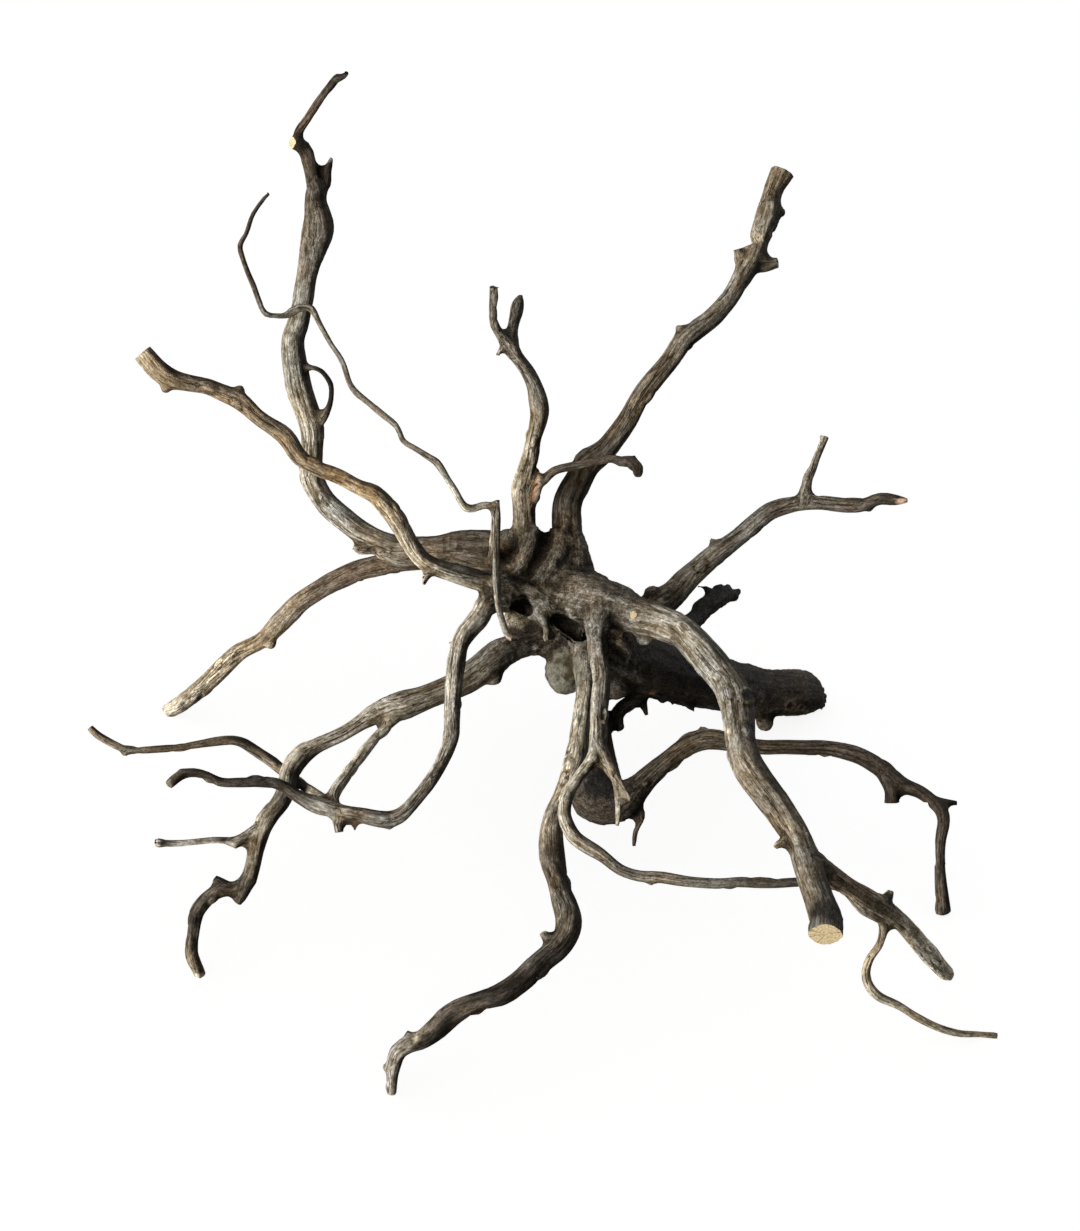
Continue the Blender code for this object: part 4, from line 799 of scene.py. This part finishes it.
def read(items, field, width=1, kind=np.float32):
    """One field of a mesh's vertices, edges, loops or faces, a row each."""
    values = np.empty(len(items) * width, kind)
    items.foreach_get(field, values)
    return values.reshape(-1, width)


def mesh_points(mesh):
    """Vertex places and normals, in millimetres."""
    return (read(mesh.vertices, "co", 3).astype(float) / MM,
            read(mesh.vertices, "normal", 3).astype(float))


def rows(vectors):
    """Each row scaled to length one."""
    return vectors / np.maximum(np.linalg.norm(vectors, axis=-1, keepdims=True), 1e-9)


def linear(colour):
    """A 0 to 255 display colour in linear light."""
    return [(c / 255 / 12.92) if c < 10.3 else ((c / 255 + 0.055) / 1.055) ** 2.4 for c in colour]


class Limb:
    """A limb's route in millimetres, with side axes carried along it without twisting."""

    def __init__(self, number, name):
        self.number = number
        self.name = name
        route = limb_route(name)
        self.points = np.array([tuple(point) for point, _ in route]) / MM
        self.radii = np.array([radius for _, radius in route])
        steps = np.diff(self.points, axis=0)
        self.lengths = np.linalg.norm(steps, axis=1)
        self.along = np.concatenate([[0.0], np.cumsum(self.lengths)])
        self.girth = float(np.median(self.radii))
        self.headings = rows(np.vstack([steps[:1], steps[:-1] + steps[1:], steps[-1:]]))
        side = rows(np.cross(self.headings[0], FIRST_SIDE))
        sides = []
        for heading in self.headings:
            side = rows(side - heading * (side @ heading))
            sides.append(side)
        self.sides = np.array(sides)

    def measure(self, points):
        """Which points lie near, how far outside, where along and across, and the radius there."""
        count = len(points)
        gap = np.full(count, FAR)
        place_on = np.zeros((count, 3))
        radius_at = np.ones(count)
        for first in range(0, len(self.points) - 1, ROUTE_CHUNK):
            span = slice(first, min(first + ROUTE_CHUNK, len(self.points) - 1) + 1)
            self.measure_chunk(span, points, gap, place_on, radius_at)
        near = np.flatnonzero(gap < REACH)
        return near, gap[near], place_on[near], radius_at[near]

    def measure_chunk(self, span, points, gap, place_on, radius_at):
        """Measure against one short run of the route, where it's the nearest so far."""
        route, radii = self.points[span], self.radii[span]
        margin = radii.max() + REACH
        inside = np.all((points > route.min(0) - margin) & (points < route.max(0) + margin), axis=1)
        near = np.flatnonzero(inside)
        if not len(near):
            return
        step = np.diff(route, axis=0)
        offset = points[near][:, None, :] - route[None, :-1]
        t = np.clip((offset * step).sum(2) / (step * step).sum(1), 0, 1)
        offset -= t[:, :, None] * step
        radius = radii[:-1] + t * np.diff(radii)
        outside = np.sqrt((offset * offset).sum(2)) - radius
        best = outside.argmin(1)
        rank = np.arange(len(near))
        closer = outside[rank, best] < gap[near]
        near, best, rank = near[closer], best[closer], rank[closer]
        t = t[rank, best]
        radial = offset[rank, best]
        segment = best + span.start
        side, heading = (rows(axes[segment] * (1 - t[:, None]) + axes[segment + 1] * t[:, None])
                         for axes in (self.sides, self.headings))
        gap[near] = outside[rank, best]
        place_on[near, 0] = self.along[segment] + t * self.lengths[segment]
        place_on[near, 1] = (radial * side).sum(1)
        place_on[near, 2] = (radial * np.cross(heading, side)).sum(1)
        radius_at[near] = radius[rank, best]

    def tone(self, along):
        """The limb's colour at lengths along it, in linear light."""
        names = LIMB_TONES.get(self.name, PLAIN_TONES).split()
        tones = np.array([linear(TONES[name]) for name in names])
        spots = np.linspace(0, self.along[-1], len(tones))
        return np.stack([np.interp(along, spots, tones[:, i]) for i in range(3)], axis=1)


# Relief

def crownness(points):
    """1 in the rough middle of the root, and 0 out on the limbs."""
    return 1 - ramp(np.linalg.norm(points - place_in_mm(CROWN_MIDDLE), axis=1), *CROWN_REACH)


def roughness_at(points, limbs):
    """1 in the rough crown and on the rough limbs, and 0 on the others."""
    rough = crownness(points)
    for limb in limbs:
        if limb.name in ROUGH_LIMBS:
            near, gap, _, _ = limb.measure(points)
            rough[near] = np.maximum(rough[near], 1 - ramp(gap, *ROUGH_FADE))
    for middle, reach in ROUGH_SPOTS:
        away = np.linalg.norm(points - place_in_mm(middle), axis=1)
        rough = np.maximum(rough, 1 - ramp(away, reach, reach + ROUGH_FADE[1]))
    return rough


def limb_relief(limb, place_on, radius, rough):
    """How far the wood stands out or in, in millimetres, along and around one limb."""
    along, across = place_on[:, 0], place_on[:, 1:]
    unit = across / radius[:, None]
    shift = LIMB_SHIFT * limb.number
    turn = along / 110 + 0.5 * noise(np.stack([along / 40 + shift, 0 * along, 0 * along], 1), 5)
    twisted = np.stack([unit[:, 0] * np.cos(turn) - unit[:, 1] * np.sin(turn),
                        unit[:, 0] * np.sin(turn) + unit[:, 1] * np.cos(turn)], 1)

    def along_noise(length, vectors, seed):
        return noise(np.column_stack([along / length + shift, vectors]), seed)

    lobes = along_noise(2.6 * limb.girth + 3, 0.8 * unit, 11) * 0.12
    flutes = sum((along_noise(length, fineness * twisted, seed) * height
                  for length, fineness, seed, height in FLUTES), lobes)
    thick = ramp(radius, 1.5, 4.0)
    ridges = (0.45 - np.abs(along_noise(15.0, across / 2.2, 14))) * 0.32 * thick
    strands = along_noise(9.0, across / 1.05, 15) * 0.14 * thick
    return np.minimum(radius, FLUTED_RADIUS) * flutes + (ridges + strands) * (1 - 0.3 * rough)


def buds(limb, place_on, radius):
    """Small swellings left by lost side twigs, scattered along one limb."""
    draw = np.random.default_rng(BUD_SEED + limb.number)
    height = np.zeros(len(radius))
    if limb.girth < BUD_LEAST_GIRTH:
        return height
    around = np.arctan2(place_on[:, 2], place_on[:, 1])
    for _ in range(int(limb.along[-1] / BUD_SPACING)):
        along, angle = draw.uniform(0, limb.along[-1]), draw.uniform(-math.pi, math.pi)
        size, rise = draw.uniform(*BUD_SIZES), draw.uniform(*BUD_RISES)
        turn = (around - angle + math.pi) % (2 * math.pi) - math.pi
        distance = np.hypot((place_on[:, 0] - along) / BUD_STRETCH, turn * radius) / size
        height += rise * (np.exp(-distance ** 2) - 0.35 * np.exp(-((distance - 1.7) / 0.4) ** 2))
    return height


def bark_relief(points, rough):
    """Lumps and cracks of the rough bark in the crown, in millimetres."""
    lumps = noise(points / 8.0, 21) * 0.55
    scales = (0.5 - np.abs(noise(points / 3.6, 22))) * 0.45
    crumbs = noise(points / 1.7, 23) * 0.22
    return rough * (lumps + scales + crumbs)


def mark_distance(points, middle, half_across, half_up, turn):
    """Distance from an oval's middle, 1 at its rim, and which points lie at its depth."""
    angle = math.radians(turn)
    offset = points - place_in_mm(middle)
    flat_x, flat_y = offset[:, 0], offset @ PLANE_UP
    long_way = (flat_x * math.cos(angle) + flat_y * math.sin(angle)) / half_across
    short_way = (flat_y * math.cos(angle) - flat_x * math.sin(angle)) / half_up
    return np.hypot(long_way, short_way), np.abs(offset @ PLANE_OUT) < MARK_DEPTH


def mark_mask(points, middle, half_across, half_up, turn, softness=0.5):
    """1 inside an oval mark that faces the viewer, fading out over its ragged rim."""
    distance, near = mark_distance(points, middle, half_across, half_up, turn)
    edge = (distance - 1 + 0.25 * noise(points / 1.6, 41)) * min(half_across, half_up)
    return (1 - ramp(edge, -softness, softness)) * near


def scar_relief(points):
    """Raised rims of healed wounds, in millimetres."""
    height = np.zeros(len(points))
    for *mark, rise in SCARS:
        distance, near = mark_distance(points, *mark)
        height += rise * near * (np.exp(-((distance - 1) / 0.28) ** 2)
                                 - 0.6 * np.exp(-(distance / 0.5) ** 2))
    return height


def carve(mesh, limbs):
    """Push the skin in and out by the limbs' relief."""
    points, normals = mesh_points(mesh)
    rough = roughness_at(points, limbs)
    total = np.zeros(len(points))
    weights = np.full(len(points), LEAST_WEIGHT)
    for limb in limbs:
        near, gap, place_on, radius = limb.measure(points)
        weight = np.exp(-np.clip(gap, -6, None) / MIX_SOFTNESS)
        relief = limb_relief(limb, place_on, radius, rough[near]) + buds(limb, place_on, radius)
        total[near] += weight * relief
        weights[near] += weight
    relief = total / weights + bark_relief(points, rough) + scar_relief(points)
    moved = (points + normals * relief[:, None]) * MM
    mesh.vertices.foreach_set("co", moved.astype(np.float32).ravel())
    mesh.update()


# Colour

def hollowness(mesh, passes):
    """How far each vertex lies under its surroundings, in millimetres."""
    points, normals = mesh_points(mesh)
    edges = read(mesh.edges, "vertices", 2, np.int32)
    counts = np.maximum(np.bincount(edges.ravel(), minlength=len(points)), 1)
    settled = points.copy()
    for _ in range(passes):
        sums = [sum(np.bincount(edges[:, end], column[edges[:, 1 - end]], len(points)) for end in (0, 1))
                for column in settled.T]
        settled = 0.4 * settled + 0.6 * np.stack(sums, 1) / counts[:, None]
    return ((settled - points) * normals).sum(1)


def add_attribute(mesh, name, values, kind="FLOAT", domain="POINT"):
    attribute = mesh.attributes.new(name, kind, domain)
    field = {"FLOAT": "value", "FLOAT_VECTOR": "vector", "FLOAT_COLOR": "color"}[kind]
    attribute.data.foreach_set(field, np.ascontiguousarray(values, np.float32).ravel())


def store_grain(mesh, gaps, grains):
    """Store the grain of each face's two nearest limbs, and how far the second one takes over."""
    corners = read(mesh.loops, "vertex_index", kind=np.int32).ravel()
    faces = corners.reshape(-1, 3)
    face_gaps = gaps[:, faces].mean(2)
    order = np.argpartition(face_gaps, 1, axis=0)[:2]
    count = np.arange(len(faces))
    first = np.where(face_gaps[order[0], count] <= face_gaps[order[1], count], order[0], order[1])
    second = order[0] + order[1] - first
    first, second = np.repeat(first, 3), np.repeat(second, 3)
    margin = gaps[second, corners] - gaps[first, corners]
    mix = 0.5 - 0.5 * np.clip(margin / GRAIN_MIX_WIDTH, -1, 1)
    add_attribute(mesh, "grain_first", grains[first, corners], "FLOAT_VECTOR", "CORNER")
    add_attribute(mesh, "grain_second", grains[second, corners], "FLOAT_VECTOR", "CORNER")
    add_attribute(mesh, "grain_mix", mix, domain="CORNER")


def with_crown(points, tone):
    """The limbs' colours, blended into the crown's own, which is painted darker towards its top as shade.
    """
    share = CROWN_SHARE * crownness(points)[:, None]
    top = ramp((points - place_in_mm((0, 0, 0))) @ PLANE_UP, *CROWN_TOP)[:, None]
    low, high = (np.array(linear(TONES[name])) for name in (CROWN_TONE, CROWN_TOP_TONE))
    return tone * (1 - share) + (low * (1 - top) + high * top) * share


def paint(mesh, limbs):
    """Store grain, colour, roughness of bark, the painted side shade and the depth of crevices, which sets
    their painted shade, on the mesh.
    """
    points, normals = mesh_points(mesh)
    gaps = np.full((len(limbs), len(points)), FAR, np.float32)
    grains = np.zeros((len(limbs), len(points), 3), np.float32)
    tone = np.zeros((len(points), 3))
    less_side_shade = np.zeros(len(points))
    weights = np.full(len(points), LEAST_WEIGHT)
    for limb in limbs:
        near, gap, place_on, _ = limb.measure(points)
        gaps[limb.number, near] = gap
        grains[limb.number, near] = place_on + (GRAIN_SHIFT * limb.number, 0, 0)
        weight = np.exp(-np.clip(gap, -6, None) / (2 * MIX_SOFTNESS))
        tone[near] += weight[:, None] * limb.tone(place_on[:, 0])
        less_side_shade[near] += weight * (limb.name in LIMBS_WITH_LESS_SIDE_SHADE)
        weights[near] += weight
    store_grain(mesh, gaps, grains)
    tone = with_crown(points, tone / weights[:, None])
    # Stains, and patches of painted shade and painted light
    for *mark, shade in STAINS_AND_PAINTED_SHADE:
        stain_or_shade = STAIN_AND_SHADE_DEPTH * mark_mask(points, *mark, softness=STAIN_AND_SHADE_SOFTNESS)
        tone += (np.array(linear(TONES[shade])) - tone) * stain_or_shade[:, None]
    bare = np.zeros(len(points))
    for *mark, shade in WOUNDS:
        wound = mark_mask(points, *mark)
        tone += (np.array(linear(WOUND_TONES[shade])) - tone) * wound[:, None]
        bare = np.maximum(bare, wound)
    # Painted shade on the side that faces away from the key light, with a ragged edge
    swirl = noise(points / 14, 31) * 0.22 + noise(points / 5, 32) * 0.12
    side_shade = ramp(normals @ rows(np.array(SIDE_SHADE_DIRECTION)) + swirl, *SIDE_SHADE_EDGE)
    add_attribute(mesh, "tone", np.column_stack([tone, np.ones(len(tone))]), "FLOAT_COLOR")
    add_attribute(mesh, "bare", bare)
    add_attribute(mesh, "bark", roughness_at(points, limbs))
    add_attribute(mesh, "side_shade", side_shade * (1 - SIDE_SHADE_LOSS * less_side_shade / weights))
    # Painted shade in hollows, from how deep each vertex lies under its surroundings
    for name, (passes, strength) in HOLLOW_SHADES.items():
        add_attribute(mesh, name, np.clip(hollowness(mesh, passes) * strength, -1, 1))


def on_planes(centres, normals, planes):
    """Which faces lie flat in one of the planes."""
    found = np.zeros(len(centres), bool)
    for tip, heading, width in planes:
        offset = centres - np.array(tip)
        flat = np.abs(offset @ np.array(heading)) < CUT_TOLERANCE * MM
        found |= flat & (normals @ np.array(heading) > CUT_FACING) & (np.abs(offset).max(1) < width)
    return found


def mark_cuts(mesh):
    """Give the pale saw cuts their own material, and every cut face a sharp rim."""
    centres, normals = (read(mesh.polygons, field, 3) for field in ("center", "normal"))
    floor_plane = (Vector((0, 0, 0)), Vector((0, 0, -1)), 1.0)
    flat = on_planes(centres, normals, sawn_planes(SAWN_ENDS) + [floor_plane])
    pale = on_planes(centres, normals, sawn_planes(PALE_CUTS))
    mesh.polygons.foreach_set("material_index", pale.astype(np.int32))
    mesh.shade_smooth()
    loops = read(mesh.loops, "edge_index", kind=np.int32).ravel()
    flat_sides = np.bincount(loops, np.repeat(flat, 3), len(mesh.edges))
    mesh.attributes.new("sharp_edge", "BOOLEAN", "EDGE")
    mesh.attributes["sharp_edge"].data.foreach_set("value", flat_sides == 1)


# Materials

class Nodes:
    """Short calls for building a material's nodes."""

    def __init__(self, name):
        self.material = bpy.data.materials.new(name)
        self.material.use_nodes = True
        self.tree = self.material.node_tree
        self.shader = self.tree.nodes["Principled BSDF"]

    def put(self, socket, value):
        if isinstance(value, bpy.types.NodeSocket):
            self.tree.links.new(value, socket)
        else:
            socket.default_value = value

    def surface(self, **values):
        """Set the shader's sockets, named with _ for spaces."""
        for name, value in values.items():
            self.put(self.shader.inputs[name.replace("_", " ")], value)

    def node(self, kind, inputs=(), output=0, **settings):
        """A new node with its settings and inputs, and the output wanted."""
        made = self.tree.nodes.new("ShaderNode" + kind)
        for name, value in settings.items():
            setattr(made, name, value)
        for name, value in dict(inputs).items():
            self.put(made.inputs[name], value)
        return made.outputs[output]

    def attribute(self, name, output="Fac"):
        return self.node("Attribute", output=output, attribute_name=name)

    def math(self, operation, *values):
        return self.node("Math", enumerate(values), operation=operation)

    def vector(self, operation, *values, output=0):
        return self.node("VectorMath", enumerate(values), output, operation=operation)

    def noise(self, vector, scale, detail=2.0, roughness=0.5, distortion=0.0):
        inputs = {"Vector": vector, "Scale": scale, "Detail": detail, "Roughness": roughness,
                  "Distortion": distortion}
        return self.node("TexNoise", inputs, "Fac")

    def fit(self, value, low, high, to_low=0.0, to_high=1.0):
        inputs = {"Value": value, "From Min": low, "From Max": high, "To Min": to_low,
                  "To Max": to_high}
        return self.node("MapRange", inputs, "Result", interpolation_type="SMOOTHSTEP")

    def mix_number(self, factor, first, second, **settings):
        return self.node("Mix", {"Factor": factor, "A": first, "B": second}, "Result", **settings)

    def mix(self, factor, first, second, blend="MIX"):
        return self.mix_number(factor, first, second, data_type="RGBA", blend_type=blend)

    def product(self, *values):
        return functools.reduce(functools.partial(self.math, "MULTIPLY"), values)

    def total(self, *values):
        return functools.reduce(functools.partial(self.math, "ADD"), values)

    def less(self, value, share):
        """1 less a share of the value."""
        return self.math("SUBTRACT", 1.0, self.product(value, share))

    def off_middle(self, value):
        """How far a noise value is from its middle."""
        return self.math("ABSOLUTE", self.math("SUBTRACT", value, 0.5))

    def scaled(self, colour, factor):
        first = colour[:3] if isinstance(colour, tuple) else colour
        return self.node("VectorMath", {0: first, "Scale": factor}, operation="SCALE")

    def bump(self, height, strength, distance):
        inputs = {"Strength": strength, "Distance": distance, "Height": height}
        return self.node("Bump", inputs, "Normal")


def rgb(*colour):
    """A display colour for a socket."""
    return (*linear(colour), 1.0)


def along_grain(nodes, stretch, scale, **options):
    """Noise drawn out along the grain, the same across every crotch."""
    found = []
    for name in ("grain_first", "grain_second"):
        vector = nodes.vector("MULTIPLY", nodes.attribute(name, "Vector"), (1 / stretch, 1, 1))
        found.append(nodes.noise(vector, scale, **options))
    return nodes.mix_number(nodes.attribute("grain_mix"), *found)


def weathered_wood():
    """Dry grey-brown wood: pitted grain, long fibres and thin splits, with painted shade in its hollows and
    on the side away from the key light.
    """
    nodes = Nodes("weathered_wood")
    tone = nodes.attribute("tone", "Color")
    bark, bare, crevice_shade, recess_shade, side_shade = (
        nodes.attribute(name) for name in ("bark", "bare", "crevice_shade", "recess_shade", "side_shade"))
    position = nodes.scaled(nodes.node("TexCoord", output="Object"), 1 / MM)

    patches = nodes.noise(position, 0.05, detail=4.0, roughness=0.6)
    blotches = nodes.noise(position, 0.2, detail=4.0, roughness=0.65)
    bands = along_grain(nodes, 16.0, 0.42, detail=2.0, roughness=0.6)
    fibres = along_grain(nodes, 16.0, 1.0, detail=3.0, roughness=0.65)
    pits = along_grain(nodes, 2.4, 1.15, detail=3.0, roughness=0.75)
    splits = along_grain(nodes, 30.0, 0.36, detail=3.0, roughness=0.55, distortion=0.25)
    split_places = along_grain(nodes, 6.0, 0.12, detail=1.0)
    scales = nodes.noise(position, 1.1, detail=4.0, roughness=0.7)
    split = nodes.product(nodes.fit(nodes.off_middle(splits), 0.004, 0.02, 1.0, 0.0),
                          nodes.fit(split_places, 0.40, 0.52), nodes.less(bark, 0.6))

    worn = nodes.fit(tone, 0.0, 0.1)
    cool = nodes.mix(nodes.product(worn, 0.34), tone, rgb(110, 109, 102))
    warm = nodes.mix(nodes.product(worn, 0.14), tone, rgb(120, 96, 70))
    weathered = nodes.mix(nodes.fit(patches, 0.40, 0.60), cool, warm)
    colour = nodes.mix(bare, weathered, tone)
    fibrous = nodes.product(nodes.fit(bands, 0.3, 0.7, 0.76, 1.2),
                            nodes.fit(fibres, 0.34, 0.64, 0.56, 1.36),
                            nodes.fit(pits, 0.36, 0.62, 0.55, 1.34))
    scaly = nodes.product(nodes.fit(bands, 0.3, 0.7, 0.85, 1.12),
                          nodes.fit(fibres, 0.34, 0.64, 0.72, 1.22),
                          nodes.fit(pits, 0.36, 0.62, 0.5, 1.42),
                          nodes.fit(scales, 0.36, 0.64, 0.5, 1.5))
    texture = nodes.product(nodes.fit(blotches, 0.32, 0.66, 0.62, 1.2),
                            nodes.mix_number(bark, fibrous, scaly))
    texture = nodes.mix_number(nodes.product(bare, 0.75), texture, 1.3)
    # Painted shade and light: the colour darkens in crevices and recesses and lightens on bulges
    light = nodes.product(texture, nodes.fit(crevice_shade, -0.6, 0.6, 1.3, 0.42),
                          nodes.fit(recess_shade, -0.7, 0.9, 1.12, 0.4))
    cast = nodes.mix(nodes.fit(light, 0.35, 1.15), DARK_CAST, PALE_CAST)
    colour = nodes.scaled(nodes.mix(1.0, colour, cast, blend="MULTIPLY"), light)
    colour = nodes.mix(nodes.product(split, 0.88), colour, rgb(26, 20, 13))
    # Painted shade: on that side the colour is dimmed and browned
    dark = nodes.scaled(nodes.mix(0.5, colour, nodes.scaled(rgb(72, 58, 40), light)), SIDE_SHADE_TONE)
    colour = nodes.mix(nodes.product(side_shade, nodes.less(bare, 0.6)), colour, dark)

    roughness = nodes.mix_number(bark, nodes.fit(pits, 0.3, 0.7, 0.9, 0.7),
                                 nodes.fit(scales, 0.35, 0.65, 0.75, 0.45))
    height = nodes.total(nodes.product(fibres, 0.55), nodes.product(pits, 0.75),
                         nodes.product(bands, 0.5), nodes.product(split, -0.5),
                         nodes.product(bark, nodes.product(blotches, 1.2)),
                         nodes.product(bark, nodes.product(scales, 0.9)))
    nodes.surface(Base_Color=colour, Roughness=roughness, Specular_IOR_Level=0.15,
                  Normal=nodes.bump(height, 1.0, MM))
    return nodes.material


def sawn_wood():
    """A pale saw cut with rings and cracks that start at its middle."""
    nodes = Nodes("sawn_wood")
    across = nodes.vector("MULTIPLY", nodes.attribute("grain_first", "Vector"), (0, 1, 1))
    wobble = nodes.noise(across, 0.35)
    depth = nodes.total(nodes.vector("LENGTH", across, output="Value"), nodes.product(wobble, 4.5))
    ring = nodes.math("SINE", nodes.product(depth, 3.6))
    colour = nodes.mix(nodes.fit(ring, -1.0, 1.0), rgb(186, 164, 124), rgb(204, 183, 141))
    mottle = nodes.noise(across, 1.1, detail=4.0, roughness=0.7)
    colour = nodes.scaled(colour, nodes.fit(mottle, 0.3, 0.75, 0.65, 1.1))
    spokes = nodes.noise(nodes.vector("NORMALIZE", across), 2.2, detail=1.0)
    crack = nodes.fit(nodes.off_middle(spokes), 0.0, 0.015, 1.0, 0.0)
    colour = nodes.mix(nodes.product(crack, 0.6), colour, rgb(84, 66, 44))
    height = nodes.math("SUBTRACT", mottle, crack)
    nodes.surface(Base_Color=colour, Roughness=0.8, Normal=nodes.bump(height, 0.6, 0.3 * MM))
    return nodes.material


# Root and setting

def make_root():
    """The fine root, in place of the CAD one."""
    root = add_object("root_wood", body_mesh())
    fuse(root)
    cut(root, hollow_cutters)
    fuse(root)
    take_back_swelling(root)
    limbs = [Limb(number, name) for number, name in enumerate(LIMBS)]
    carve(root.data, limbs)
    thin_out(root)
    cut(root, saw_cutters)
    cut(root, floor_cutter)
    with editing(root.data) as bm:
        keep_largest_body(bm)
        bmesh.ops.triangulate(bm, faces=bm.faces)
    root.data.materials.clear()
    root.data.materials.append(weathered_wood())
    root.data.materials.append(sawn_wood())
    mark_cuts(root.data)
    paint(root.data, limbs)
    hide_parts(NODE)
    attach(root, "root")
    return root


def cut_knots(root):
    """Pale discs where twigs were cut off flush, set in the wood that a line of sight meets."""
    wood = BVHTree.FromPolygons([vertex.co for vertex in root.data.vertices],
                                [polygon.vertices for polygon in root.data.polygons])
    mesh = bpy.data.meshes.new("cut_knots")
    with editing(mesh) as bm:
        grain = bm.loops.layers.float_vector.new("grain_first")
        for (across, up, towards), radius in CUT_KNOTS:
            eye = place(across, up, towards + MARK_DEPTH)
            spot, normal, _, _ = wood.ray_cast(eye, place(across, up, towards) - eye)
            turn = turned_to(normal)
            middle = spot + normal * (KNOT_RISE - KNOT_DEPTH) / 2 * MM
            made = bmesh.ops.create_cone(
                bm, cap_ends=True, segments=KNOT_SIDES, radius1=radius * MM,
                radius2=KNOT_TAPER * radius * MM, depth=(KNOT_RISE + KNOT_DEPTH) * MM,
                matrix=Matrix.Translation(middle) @ turn)
            for vert in made["verts"]:
                x, y, _ = turn.inverted() @ (vert.co - middle)
                around = math.atan2(y, x)
                swell = 1 + 0.06 * math.sin(2 * around + radius) + 0.03 * math.sin(5 * around)
                vert.co += turn @ Vector((x * (swell - 1), y * (swell - 1), 0))
                for loop in vert.link_loops:
                    loop[grain] = (0, x / MM, y / MM)
    mesh.materials.append(root.data.materials[1])
    knots = add_object("cut_knots", mesh)
    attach(knots, "root")
    return knots


def make_floor():
    """A plain pale floor, whose glow the wood doesn't see."""
    mesh = bpy.data.meshes.new("floor")
    with editing(mesh) as bm:
        bmesh.ops.create_grid(bm, x_segments=1, y_segments=1, size=FLOOR_SIZE / 2)
    floor = add_object("floor", mesh)
    nodes = Nodes("pale_floor")
    nodes.surface(Base_Color=(*FLOOR_COLOUR, 1.0), Roughness=0.9, Specular_IOR_Level=0.1,
                  Emission_Color=WHITE, Emission_Strength=FLOOR_GLOW)
    mesh.materials.append(nodes.material)
    alone = bpy.data.collections.new("floor_alone")
    alone.objects.link(floor)
    floor.light_linking.receiver_collection = alone


def make_light(name, position, power, lit):
    """A square soft light that faces the crown and falls on the given pieces alone."""
    light = bpy.data.lights.new(name, "AREA")
    light.size = LIGHT_SIZE
    light.energy = power
    lamp = add_object(name, light)
    lamp.location = position
    lamp.rotation_euler = turned_to(Vector(position) - place(*CROWN_MIDDLE)).to_euler()
    lamp.light_linking.receiver_collection = lit


def make_camera():
    """The photograph's camera: a metre from the crown, looking down on it."""
    data = bpy.data.cameras.new("camera")
    data.sensor_width = SENSOR
    data.lens = SENSOR * SIGHT_LENGTH / PHOTO_LONG_SIDE
    camera = add_object("camera", data)
    camera.location = place(0, 0, SIGHT_LENGTH)
    camera.rotation_euler = (math.pi / 2 - SIGHT_RISE, 0, 0)
    bpy.context.scene.camera = camera


def make_world():
    """A dim white room."""
    world = bpy.data.worlds.new("studio")
    world.use_nodes = True
    background = world.node_tree.nodes["Background"]
    background.inputs["Color"].default_value = WHITE
    background.inputs["Strength"].default_value = WORLD_LIGHT
    bpy.context.scene.world = world
    bpy.context.scene.view_settings.view_transform = "Standard"


lit = bpy.data.collections.new("lit_wood")
bpy.context.scene.collection.children.link(lit)
root = make_root()
lit.objects.link(root)
lit.objects.link(cut_knots(root))
make_floor()
make_world()
for name, (position, power) in LIGHTS.items():
    make_light(name, position, power, lit)
make_camera()
